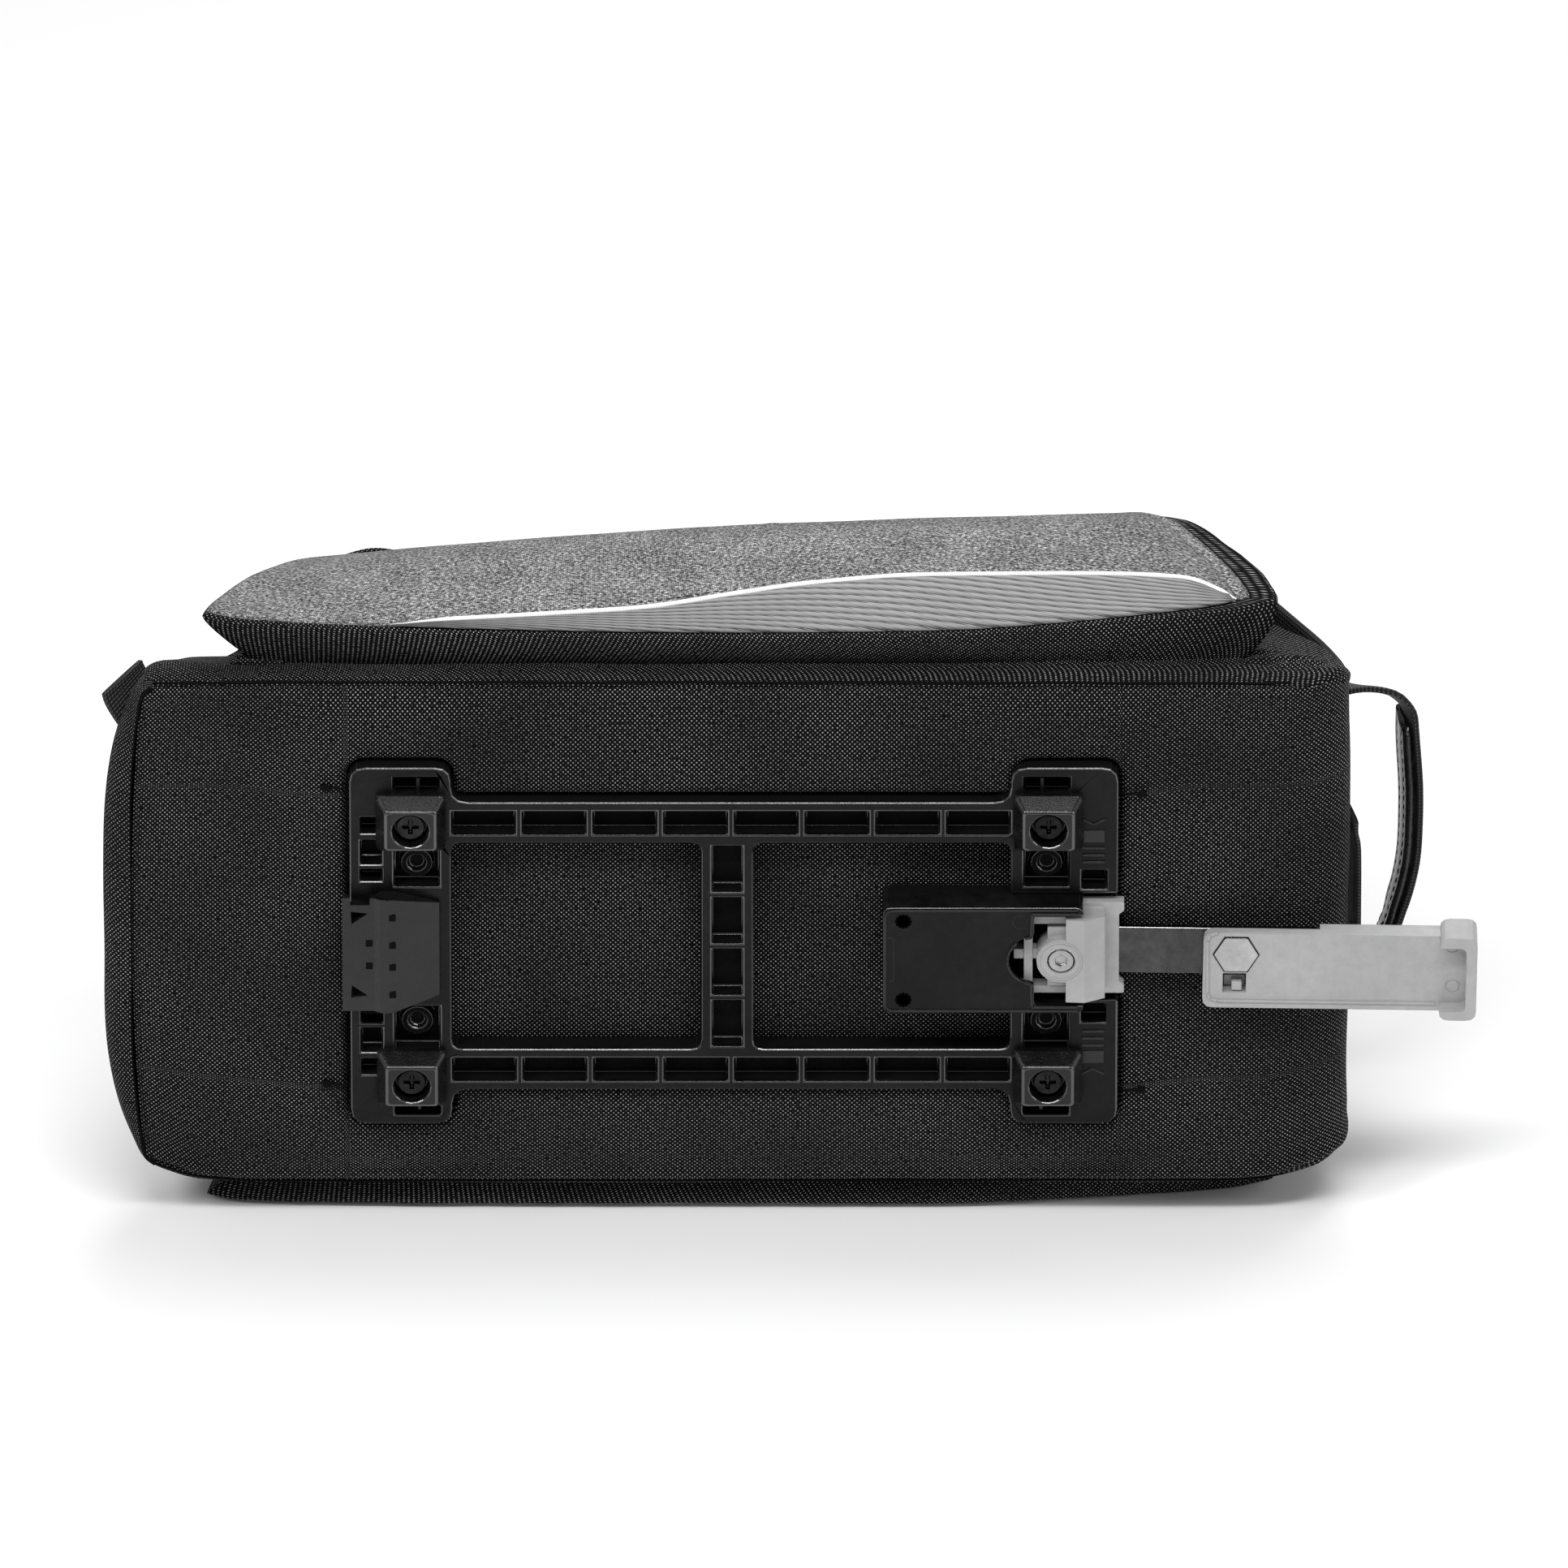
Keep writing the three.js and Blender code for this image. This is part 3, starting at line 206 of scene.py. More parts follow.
def open_group(name, inputs, outputs):
    """A node group with float or vector sockets, by name."""
    tree = bpy.data.node_groups.new(name, "ShaderNodeTree")
    for label, start in inputs.items():
        kind = "NodeSocketVector" if start is None else "NodeSocketFloat"
        socket = tree.interface.new_socket(label, in_out="INPUT", socket_type=kind)
        if start is not None:
            socket.default_value = start
    for label in outputs:
        tree.interface.new_socket(label, in_out="OUTPUT", socket_type="NodeSocketFloat")
    return tree, tree.nodes.new("NodeGroupInput").outputs, tree.nodes.new("NodeGroupOutput").inputs


def speckle(tree, vector, scale, detail=2.0, roughness=0.5, output="Fac"):
    """A noise value between nought and one, or its colour."""
    node = place_node(tree, "ShaderNodeTexNoise")
    for key, value in (("Vector", vector), ("Scale", scale), ("Detail", detail), ("Roughness", roughness)):
        feed(tree, node.inputs[key], value)
    return node.outputs[output]


def widen(tree, value, low, high):
    """Stretches a value so that low becomes nought and high becomes one."""
    node = place_node(tree, "ShaderNodeMapRange")
    for key, number in (("Value", value), ("From Min", low), ("From Max", high)):
        feed(tree, node.inputs[key], number)
    return node.outputs["Result"]


# %% [markdown]
# Basket weave: thick threads pass over and under each other, so light catches on rounded tops that
# stand in a chequered lattice. The product of two sine waves makes exactly that lattice. A little
# noise bends the threads. A third output marks the thread tops, each with its own strength, and the black
# cloth uses it as a painted highlight in its colour; a slow noise lets that painted highlight grow stronger
# in some places than in others.

# %% Basket weave group
weave, weave_in, weave_out = open_group(
    "basket_weave", {"Vector": None, "Pitch": 0.00146, "Bend": 0.00016}, ["Height", "Top_Glint", "Slow"])
cloth_place = weave_in["Vector"]
sway = vector_calc(weave, "SUBTRACT", speckle(weave, cloth_place, 180, 1.0, output="Color"), (0.5, 0.5, 0.5))
bent = vector_calc(weave, "ADD", cloth_place, vector_calc(weave, "SCALE", sway, weave_in["Bend"]))
turns = calc(weave, "DIVIDE", 2 * math.pi, weave_in["Pitch"])
waves = [calc(weave, "SINE", calc(weave, "MULTIPLY", along, turns)) for along in parts_of(weave, bent)[:2]]
lattice = calc(weave, "MULTIPLY", *waves)
over = calc(weave, "MAXIMUM", lattice, 0.0)
under = calc(weave, "POWER", calc(weave, "ABSOLUTE", lattice), 0.6)
# Painted highlight mask: the tops of the over threads, each with a random strength.
tops = calc(weave, "MULTIPLY", calc(weave, "POWER", over, 2.6),
            widen(weave, speckle(weave, bent, 900, 0.0), 0.15, 0.6))
height = calc(weave, "MULTIPLY_ADD", over, 0.55, calc(weave, "MULTIPLY", under, 0.45))
feed(weave, weave_out["Height"], height)
feed(weave, weave_out["Top_Glint"], tops)
feed(weave, weave_out["Slow"], speckle(weave, cloth_place, 22, 3.0))
print("group:", weave.name, len(weave.nodes), "nodes")

# %% [markdown]
# Heather cloth is spun from dark and pale fibres, so it shows short flecks rather than a pattern. Two
# noises of different length are laid over the same weave lattice. That reads as melange yarn from far
# and as single flecks from near.

# %% Melange group
melange, melange_in, melange_out = open_group("melange_yarn", {"Vector": None}, ["Shade", "Height"])
stretch = place_node(melange, "ShaderNodeMapping")
feed(melange, stretch.inputs["Vector"], melange_in["Vector"])
stretch.inputs["Scale"].default_value = (0.62, 1.0, 1.0)
stretch.inputs["Rotation"].default_value = (0, 0, 0.5)
fine_fleck = speckle(melange, stretch.outputs[0], 1700, 1.0, 0.6)
long_fleck = speckle(melange, stretch.outputs[0], 620, 2.0, 0.6)
cloud = calc(melange, "SUBTRACT", speckle(melange, melange_in["Vector"], 60), 0.5)
shade = calc(melange, "MULTIPLY_ADD", fine_fleck, 0.72, calc(melange, "MULTIPLY", long_fleck, 0.28))
shade = calc(melange, "MULTIPLY_ADD", cloud, 0.12, shade)
feed(melange, melange_out["Shade"], widen(melange, shade, 0.3, 0.7))
feed(melange, melange_out["Height"], fine_fleck)
print("group:", melange.name, len(melange.nodes), "nodes")

# %% [markdown]
# Moulded plastic and drawn steel are never one flat grey: they carry fine grain and faint handling
# marks. One group gives a grain for the bump and a slow variation for roughness and colour.

# %% Moulded grain group
grain, grain_in, grain_out = open_group("moulded_grain", {"Vector": None, "Scale": 1800.0}, ["Grain", "Wear"])
wear = calc(grain, "MULTIPLY", speckle(grain, grain_in["Vector"], 260, 4.0, 0.7),
            speckle(grain, grain_in["Vector"], 35))
feed(grain, grain_out["Grain"], speckle(grain, grain_in["Vector"], grain_in["Scale"]))
feed(grain, grain_out["Wear"], widen(grain, wear, 0.1, 0.45))
print("group:", grain.name, len(grain.nodes), "nodes")

# %% [markdown]
# Every finish starts from its own shader values. Its colour is a mix of two greys, and its bump
# comes from the height of the threads or the grain. Cloth reads the panel's map in metres, hard
# parts their own place in the model.

# %% Helpers for materials
def finish_named(name, roughness, metallic=0.0, shine=0.5):
    """A material with its shader's own values set."""
    material = bpy.data.materials.new(name)
    material.use_nodes = True
    shader = material.node_tree.nodes["Principled BSDF"]
    for key, value in (("Roughness", roughness), ("Metallic", metallic), ("Specular IOR Level", shine)):
        shader.inputs[key].default_value = value
    return material, material.node_tree, shader


def use_group(tree, group, **values):
    """Places a shared group in a material and gives its outputs."""
    node = place_node(tree, "ShaderNodeGroup", node_tree=group)
    for key, value in values.items():
        feed(tree, node.inputs[key], value)
    return node.outputs


def paint(tree, shader, share, dark, pale, cool=1.01):
    """Colours a finish between two greys, a touch cool, by a changing share."""
    node = place_node(tree, "ShaderNodeMix", data_type="RGBA")
    feed(tree, node.inputs["Factor"], share)
    for slot, grey in ((6, dark), (7, pale)):
        node.inputs[slot].default_value = (grey, grey, min(grey * cool, 1), 1)
    feed(tree, shader.inputs["Base Color"], node.outputs[2])


def raise_surface(tree, shader, height, distance, rounding=0.0):
    """Bump from a height, in metres, over edges that can look rounded."""
    bump = place_node(tree, "ShaderNodeBump")
    if rounding:
        rounded = place_node(tree, "ShaderNodeBevel", samples=6)
        rounded.inputs["Radius"].default_value = rounding
        feed(tree, bump.inputs["Normal"], rounded.outputs["Normal"])
    bump.inputs["Strength"].default_value = 1.0
    bump.inputs["Distance"].default_value = distance
    feed(tree, bump.inputs["Height"], height)
    feed(tree, shader.inputs["Normal"], bump.outputs["Normal"])


def cloth_map(tree):
    """The piece's own map in metres."""
    return place_node(tree, "ShaderNodeUVMap", uv_map="cloth_map").outputs[0]


def object_place(tree):
    """The place on the piece itself."""
    return place_node(tree, "ShaderNodeTexCoord").outputs["Object"]


def ridges(tree, along, pitch):
    """Round ridges at an even pitch, between nought and one."""
    return calc(tree, "ABSOLUTE", calc(tree, "SINE", calc(tree, "MULTIPLY", along, math.pi / pitch)))


def grained(name, roughness, scale, dark, pale, by="Grain", **looks):
    """A finish whose grey follows the moulded grain; gives the group's outputs too."""
    material, tree, shader = finish_named(name, roughness, **looks)
    grainy = use_group(tree, grain, Vector=object_place(tree), Scale=scale)
    paint(tree, shader, grainy[by], dark, pale)
    return material, tree, shader, grainy


# %% [markdown]
# The black cloth is nearly black between its threads; the grey on their tops is a painted highlight.
# Webbing is ribbed instead: fine ridges across it, broken by wider ones along it, and its rib tops are
# painted lighter as a painted highlight.

# %% Black basket cloth and webbing
basket_cloth, tree, shader = finish_named("black_basket_cloth", 0.6, shine=0.04)
pattern = use_group(tree, weave, Vector=cloth_map(tree))
# Painted highlight: the thread tops are coloured grey, stronger where the slow noise is high.
lit = calc(tree, "MULTIPLY", pattern["Top_Glint"], widen(tree, pattern["Slow"], -0.1, 0.7))
paint(tree, shader, lit, 0.0035, 0.72)
raise_surface(tree, shader, pattern["Height"], 0.0005)

webbing, tree, shader = finish_named("black_webbing", 0.5, shine=0.15)
run, climb, _ = parts_of(tree, cloth_map(tree))
thread_top = calc(tree, "MULTIPLY", calc(tree, "POWER", ridges(tree, run, 0.0011), 0.7),
                  calc(tree, "POWER", ridges(tree, climb, 0.0014), 0.5))
# Painted highlight: the tops of the ribs are coloured lighter than between them.
paint(tree, shader, thread_top, 0.004, 0.06)
raise_surface(tree, shader, thread_top, 0.0007)

# %% Grey heather cloth
heather_cloth, tree, shader = finish_named("grey_heather_cloth", 0.85, shine=0.1)
flecks = use_group(tree, melange, Vector=cloth_map(tree))
pattern = use_group(tree, weave, Vector=cloth_map(tree), Pitch=0.0012, Bend=0.0006)
# Painted shade between the threads: the weave's hollows darken the fleck colour, its tops stay light.
lit = calc(tree, "MULTIPLY", flecks["Shade"], calc(tree, "MULTIPLY_ADD", pattern["Height"], 0.4, 0.72))
paint(tree, shader, calc(tree, "POWER", lit, 2.1), 0.025, 1.0)
raise_surface(tree, shader, calc(tree, "ADD", pattern["Height"], flecks["Height"]), 0.0003)

# %% [markdown]
# The lower face panel is vinyl embossed with long ribs whose edges step like a saw. A fractional ramp
# makes the ribs, and a second small ramp shifts them step by step, so each rib breaks into scales. The
# same ramp colours each rib dark at its start and light at its end: painted shade and light.

# %% Ribbed vinyl
ribbed_vinyl, tree, shader = finish_named("ribbed_vinyl", 0.4, shine=0.35)
run, climb, _ = parts_of(tree, cloth_map(tree))
tooth = calc(tree, "FRACT", calc(tree, "DIVIDE", calc(tree, "MULTIPLY_ADD", climb, 2.4, run), 0.0031))
swing = calc(tree, "MULTIPLY", calc(tree, "SINE", calc(tree, "MULTIPLY", run, 26.0)), 0.0022)
climb = calc(tree, "MULTIPLY_ADD", run, 0.2, calc(tree, "ADD", climb, swing))
level = calc(tree, "MULTIPLY_ADD", tooth, 0.3, calc(tree, "DIVIDE", climb, 0.0026))
rib_ramp_and_shade = calc(tree, "POWER", calc(tree, "FRACT", level), 0.4)
grainy = use_group(tree, grain, Vector=object_place(tree), Scale=1500.0)
# Painted shade and light: each rib's colour follows its ramp, dark where it starts and light where it ends,
# with a little wear.
wear_and_painted_shade = calc(tree, "MULTIPLY", widen(tree, rib_ramp_and_shade, 0.3, 0.85),
            calc(tree, "MULTIPLY_ADD", grainy["Wear"], 0.2, 0.85))
paint(tree, shader, wear_and_painted_shade, 0.03, 0.27)
raise_surface(tree, shader, rib_ramp_and_shade, 0.0008)

# %% Piping, gloss vinyl, thread and zip
white_piping, tree, shader = finish_named("white_piping", 0.42)
cord_rib = ridges(tree, parts_of(tree, cloth_map(tree))[0], 0.000748)
# Painted shade: the grooves between the cord's strands are coloured darker than its crests.
paint(tree, shader, cord_rib, 0.66, 0.84, cool=1.0)
raise_surface(tree, shader, cord_rib, 0.00012)

gloss_vinyl, tree, shader, grainy = grained("gloss_vinyl", 0.28, 900.0, 0.006, 0.02, "Wear")
feed(tree, shader.inputs["Roughness"], calc(tree, "MULTIPLY_ADD", grainy["Grain"], 0.2, 0.2))
raise_surface(tree, shader, grainy["Grain"], 0.0002)

# Near-black finish: painted shade in the pits and in the base seam's groove, and the own colour of the black
# tie cords.
pit_shade_and_black_cord = grained("pit_shade_and_black_cord", 0.9, 2000.0, 0.001, 0.003, shine=0.1)[0]
black_thread = grained("black_thread", 0.7, 3000.0, 0.003, 0.03, shine=0.15)[0]
white_thread = grained("white_thread", 0.6, 3000.0, 0.5, 0.85)[0]

zip_coil, tree, shader = finish_named("zip_coil", 0.35)
run, climb, _ = parts_of(tree, cloth_map(tree))
coil_turn = ridges(tree, calc(tree, "MULTIPLY_ADD", climb, 0.207, run), 0.0013)
# Painted highlight: the top of each coil turn is coloured lighter than between turns.
paint(tree, shader, coil_turn, 0.002, 0.035)
raise_surface(tree, shader, coil_turn, 0.0008)
print("cloth finishes:", [m.name for m in bpy.data.materials])

# %% [markdown]
# The hard parts are satin black moulding, a pale grey moulding for the lever, and bright steel. Their
# edges catch thin lines of light on the real plate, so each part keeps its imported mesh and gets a
# small bevel on top of it, after a weld that joins its loose triangles. On the blocks the flats are
# made whole first. Where a wider bevel would fold thin triangles over, it stays narrow or is held
# back, and the shading rounds the edge instead.

# %% Hard finishes
def black_moulding(name, shine, rough, dark, pale, depth=0.0, grit=0.00012, rounding=0.0):
    """Black plastic; with a depth in metres it grows dull and, by painted shade, dark behind the plate's
    front.
    """
    material, tree, shader = finish_named(name, rough, shine=shine)
    grainy = use_group(tree, grain, Vector=object_place(tree), Scale=2400.0)
    wear_and_painted_shade, gloss = grainy["Wear"], calc(tree, "MULTIPLY_ADD", grainy["Wear"], 0.14, rough)
    # Painted shade: the colour darkens towards the floor of the plate's recesses, which also grow rougher.
    if depth:
        recess_shade_and_dullness = widen(tree, parts_of(tree, object_place(tree))[1], plate_low.y + 0.0007, plate_low.y + depth)
        wear_and_painted_shade = calc(tree, "MULTIPLY", wear_and_painted_shade, calc(tree, "SUBTRACT", 1.0, recess_shade_and_dullness))
        gloss = calc(tree, "MULTIPLY_ADD", recess_shade_and_dullness, 0.45, gloss)
    paint(tree, shader, wear_and_painted_shade, dark, pale)
    feed(tree, shader.inputs["Roughness"], gloss)
    raise_surface(tree, shader, grainy["Grain"], grit, rounding)
    return material


def metal_finish(name, dark, pale, rough):
    """Steel whose grey and gloss change a little from place to place."""
    material, tree, shader, grainy = grained(name, rough, 1200.0, dark, pale, "Wear", metallic=1.0)
    feed(tree, shader.inputs["Roughness"], calc(tree, "MULTIPLY_ADD", grainy["Grain"], 0.16, rough))
    return material


black_plastic = black_moulding("black_plastic", 0.15, 0.3, 0.001, 0.009, depth=0.0022)
block_plastic = black_moulding("block_plastic", 0.3, 0.15, 0.001, 0.008)
hook_plastic = black_moulding("hook_plastic", 0.36, 0.24, 0.003, 0.013, rounding=0.0005)
bright_edge = black_moulding("bright_edge", 1.0, 0.14, 0.004, 0.02, grit=0.00002)
dark_steel = metal_finish("dark_steel", 0.035, 0.08, 0.2)
bright_steel = metal_finish("bright_steel", 0.3, 0.48, 0.2)
black_screw = metal_finish("black_screw", 0.006, 0.03, 0.14)
grey_plastic, tree, shader, grainy = grained("grey_plastic", 0.42, 2600.0, 0.32, 0.41, "Wear", shine=0.4)
feed(tree, shader.inputs["Roughness"], calc(tree, "MULTIPLY_ADD", grainy["Wear"], 0.14, 0.34))
raise_surface(tree, shader, grainy["Grain"], 0.0001, rounding=0.0004)


# %% Edges of the hard parts
same_place = 0.00001
same_plane = math.radians(0.1)
sharp_edge = math.radians(32)
widest_free_bevel = 0.0006


def soften_edges(part, material, edge, bevel, flats=False):
    """Small bevels on every sharp edge; they can carry a finish of their own."""
    part.data.materials.clear()
    for finish in (material, edge):
        if finish:
            part.data.materials.append(finish)
    if not bevel:
        return
    part.modifiers.new("join_triangles", "WELD").merge_threshold = same_place
    if flats:
        whole = part.modifiers.new("whole_flats", "DECIMATE")
        whole.decimate_type = "DISSOLVE"
        whole.angle_limit = same_plane
    soften = part.modifiers.new("soft_edges", "BEVEL")
    soften.width = bevel
    soften.segments = 3
    soften.profile = 0.25 if edge else 0.5
    soften.material = 1 if edge else -1
    soften.limit_method = "ANGLE"
    soften.angle_limit = sharp_edge
    soften.use_clamp_overlap = not edge and bevel > widest_free_bevel
    soften.harden_normals = True


finishes = {"adapter_plate": (black_plastic, bright_edge, 0.0005),
            "slider_housing": (black_plastic, bright_edge, 0.00015), "rack_hook": (hook_plastic, None, 0),
            "clamp_jaw": (grey_plastic, None, 0.0007), "pull_handle": (grey_plastic, None, 0.001),
            "snap_tongue": (grey_plastic, None, 0.0007),
            # The pull strip's bevels take the bright steel: a painted highlight along its dark edges.
            "pull_strip": (dark_steel, bright_steel, 0.0002), "jaw_screw": (bright_steel, None, 0.0003),
            "hex_bolt": (bright_steel, None, 0.0004), "lid_zip": (webbing, None, 0.0003),
            "lid_zip_pull": (black_screw, None, 0.0004)}
for node in nodes:
    if node.startswith("clamp_block"):
        finishes[node] = (block_plastic, bright_edge, 0.0005, True)
    elif node.startswith("block_screw"):
        finishes[node] = (black_screw, None, 0.0003, True)
    if node in finishes:
        soften_edges(nodes[node], *finishes[node])
print("dressed parts:", len(finishes))

# %% [markdown]
# Sewn panels all start as a flat grid, like cloth on the cutting table. A rule then moves each point
# to its place on the bag, and the panel's own map in metres is kept, so the weave has the same size
# everywhere. Near a sewn edge the cloth rolls in, which draws the groove of the seam.

# %% Helpers for cloth
def clamp(value, low=0, high=1):
    """Keeps a value between two limits."""
    return min(max(value, low), high)


def read(rows, at):
    """Smooth reading of a table of (key, value, ...) rows, without overshoot."""
    i = min(max(bisect_right([row[0] for row in rows], at) - 1, 0), len(rows) - 2)
    low, high = rows[i], rows[i + 1]
    span = high[0] - low[0]
    t = clamp((at - low[0]) / span)
    values = []
    for k in range(1, len(low)):
        slope = (high[k] - low[k]) / span
        before = slope if i == 0 else (low[k] - rows[i - 1][k]) / (low[0] - rows[i - 1][0])
        after = slope if i == len(rows) - 2 else (rows[i + 2][k] - high[k]) / (rows[i + 2][0] - high[0])
        start, end = (0 if s * slope <= 0 else 2 * s * slope / (s + slope) for s in (before, after))
        values.append((2 * t ** 3 - 3 * t * t + 1) * low[k] + (t ** 3 - 2 * t * t + t) * span * start
                      + (3 * t * t - 2 * t ** 3) * high[k] + (t ** 3 - t * t) * span * end)
    return values[0] if len(values) == 1 else values


def mix(a, b, t):
    """The value at a share of the way from a to b."""
    return a + (b - a) * t


def spread(start, stop, count):
    """Even places from a start to a stop."""
    return [mix(start, stop, k / (count - 1)) for k in range(count)]


def bell(value, middle, width):
    """A soft hump round a middle."""
    return math.exp(-((value - middle) / width) ** 2)


def edge_roll(distance, radius, depth):
    """How far cloth sinks at this distance from its sewn edge."""
    t = 1 - clamp(distance / radius)
    return depth * (1 - math.sqrt(max(1 - t * t, 0)))


def ripple(x, y, z, size, seed=0.0):
    """Slow unevenness of cloth, between about -1 and 1."""
    return noise.noise(Vector((x, y, z)) / size + Vector((seed, seed, seed)))


def run_along(spots):
    """Metres run at each of a line of places in millimetres."""
    run = [0.0]
    for a, b in zip(spots, spots[1:]):
        run.append(run[-1] + math.dist(a, b) / 1000)
    return run


def lengths(place, steps, along_u, at=0.5):
    """Distance run along a line of a panel, its middle one unless told otherwise, at each grid line."""
    return run_along([place(i / steps, at) if along_u else place(at, i / steps) for i in range(steps + 1)])


def as_piece(name, mesh, material, body="bag", smooth=True):
    """Turns a bmesh into a piece that rides on a body."""
    data = bpy.data.meshes.new(name)
    mesh.to_mesh(data)
    mesh.free()
    data.materials.append(material)
    for polygon in data.polygons:
        polygon.use_smooth = smooth
    piece = bpy.data.objects.new(name, data)
    scene.collection.objects.link(piece)
    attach(piece, body)
    return piece


def face_out(mesh, inside):
    """Turns faces so that most of them look away from a place inside the bag."""
    heart = on_bag(*inside)
    if sum(f.normal.dot(f.calc_center_median() - heart) for f in mesh.faces) < 0:
        bmesh.ops.reverse_faces(mesh, faces=mesh.faces)


def laid_lines(start, stop, pitch, edges, offsets):
    """Grid lines at an even pitch, set closer beside the given edges."""
    lines = [start, stop] + [e + o for e in edges for o in offsets if start < e + o < stop]
    for k in range(1, int((stop - start) / pitch)):
        line = start + k * pitch
        if all(abs(line - other) > pitch * 0.6 for other in lines):
            lines.append(line)
    return sorted(lines)


def line_at(lines, share):
    """The grid line at a share of a panel."""
    return lines[round(share * (len(lines) - 1))]


def soft_step(value, low, high):
    """Rises smoothly from nought at low to one at high."""
    t = clamp((value - low) / (high - low))
    return t * t * (3 - 2 * t)


def sewn_panel(name, place, steps, wall, inside, material, join_ends=False, measure_at=0.5):
    """One cut and sewn panel; place(u, v) gives bag millimetres."""
    across, up = steps
    mesh = bmesh.new()
    layer = mesh.loops.layers.uv.new("cloth_map")
    bmesh.ops.create_grid(mesh, x_segments=across, y_segments=up, size=0.5)
    run_u, run_v = lengths(place, across, True), lengths(place, up, False, measure_at)
    where = {v: (round((v.co.x + 0.5) * across), round((v.co.y + 0.5) * up)) for v in mesh.verts}
    for face in mesh.faces:
        for loop in face.loops:
            i, j = where[loop.vert]
            loop[layer].uv = (run_u[i], run_v[j])
    for v, (i, j) in where.items():
        v.co = on_bag(*place(i / across, j / up))
    if join_ends:
        bmesh.ops.remove_doubles(mesh, verts=mesh.verts, dist=0.00001)
    mesh.normal_update()
    face_out(mesh, inside)
    piece = as_piece(name, mesh, material)
    thick = piece.modifiers.new("cloth_thickness", "SOLIDIFY")
    thick.thickness = wall / 1000
    thick.offset = -1
    print(f"{name}: {run_u[-1] * 1000:.0f} by {run_v[-1] * 1000:.0f} mm")
    return piece


# %% [markdown]
# The body of the bag narrows from its base to its lid and grows from nose to tail. Short tables hold
# that shape: how far the sides, the tail and the nose stand out at each share of the height, and how
# far the corners are drawn in. Every body panel below reads them, so neighbouring panels meet along
# the same seams.

# %% Shape of the body
half_length = 184.5
nose_height = 102
tail_height = 140
zip_share = 0.8
bag_heart = (0, 60, 0)


def height_at(x):
    """Height of the bag over its base, in millimetres."""
    return mix(nose_height, tail_height, (x + half_length) / (2 * half_length))


half_width_rows = [(0, 80.8), (0.009, 84.2), (0.031, 85.5), (0.069, 85.8), (0.11, 85.2), (0.243, 81.9),
                   (0.5, 73.7), (0.8, 64.6), (0.84, 63.4)]
tail_rows = [(0, 160), (0.009, 169.9), (0.031, 178.6), (0.069, 183.4), (0.11, 184.5), (0.243, 180.4),
             (0.5, 163.8), (0.8, 144.3), (0.84, 141.7)]
nose_rows = [(0, 173.4, 3.4), (0.004, 173.3, 4.0), (0.02, 172.9, 8.4), (0.04, 172.6, 11),
             (0.069, 172.4, 12.6), (0.11, 172.3, 12.6), (0.243, 167, 10.8), (0.5, 151.7, 8.4),
             (0.8, 135.6, 6), (0.84, 133.6, 6)]


def nose_line(share, across):
    """X of the nose panel; across is from -1 to 1 over its width."""
    reach, swell = read(nose_rows, share)
    return -reach - swell * (1 - abs(across) ** 4)


nose_pinch_rows = [(0, 0), (0.11, 1.4), (0.2, 2.6), (0.27, 3.8), (0.35, 5.2), (0.47, 9.6), (0.6, 9.4),
                   (0.8, 0), (0.84, 0)]
tail_pinch_rows = [(0, 0), (0.07, 0.8), (0.14, 3.2), (0.24, 4.8), (0.5, 6.2), (0.65, 4.4), (0.8, 0),
                   (0.84, 0)]


def body_half(x, y, side):
    """Half width of the bag at a place; its corners are drawn in, and the side it lies on sags."""
    share = max(y / height_at(x), 0.0)
    half = read(half_width_rows, max(share, 0.009))
    half -= read(nose_pinch_rows, share) * (1 - soft_step(x + read(nose_rows, share)[0], 13, 44))
    half -= read(tail_pinch_rows, share) * (1 - soft_step(read(tail_rows, share) - x, 6, 38))
    if side < 0:
        half += 2.6 * bell(y, 0, 24) * soft_step(x, -176, -140) * (1 - soft_step(x, 150, 176))
        half -= 5.5 * bell(y, 0, 34) * soft_step(x, 162, 186)
        half -= 4.5 * bell(y, 0, 26) * (1 - soft_step(x, -178, -156))
    return half


strip_points = [(-176.8, 0.3), (-171, 0), (-90, 0), (0, 0), (90, 0), (140, 0), (160, 0.05), (169.9, 1.26),
                (178.6, 4.34), (183.4, 9.66), (184.5, 15.4), (180.4, 34), (163.8, 70), (144.3, 112)]
strip_rows = [(run * 1000, x, y) for run, (x, y) in zip(run_along(strip_points), strip_points)]
strip_length = strip_rows[-1][0]
print("base and tail strip:", round(strip_length), "mm long")

# %% [markdown]
# One strip of cloth makes both the base and the tail end, so the weave runs round the soft tail
# corner without a seam. Its long edges roll into the side seams. The screws pull the plate into the
# padding, so the cloth swells up round the plate's outline and stays low behind it. Grid lines lie
# closer beside that outline and beside the seams, where the cloth turns sharply.

# %% Base and tail panel
plate_parts = [(-96.7, 15.1, 61, 5), (100.6, 15.1, 61, 5), (1.95, 99, 49.2, 0)]
seam_inset = 1.3
strip_half = 83
plate_ends = [middle + way * half_x - strip_points[0][0]
              for middle, half_x, _, _ in plate_parts[:2] for way in (-1, 1)]
strip_lines = laid_lines(0, strip_length, 2.7, plate_ends,
                         (-4.4, -3, -1.8, -0.8, -0.2, 0.2, 0.5, 0.9, 1.5, 2.4, 3.4, 4.6))
width_lines = laid_lines(-strip_half, strip_half, 2.7, [-strip_half, -61, -49.2, 49.2, 61, strip_half],
                         (-4.4, -3.2, -2.2, -1.5, -0.9, -0.5, -0.2, 0.2, 0.5, 0.9, 1.5, 2.2, 3.2, 4.4))


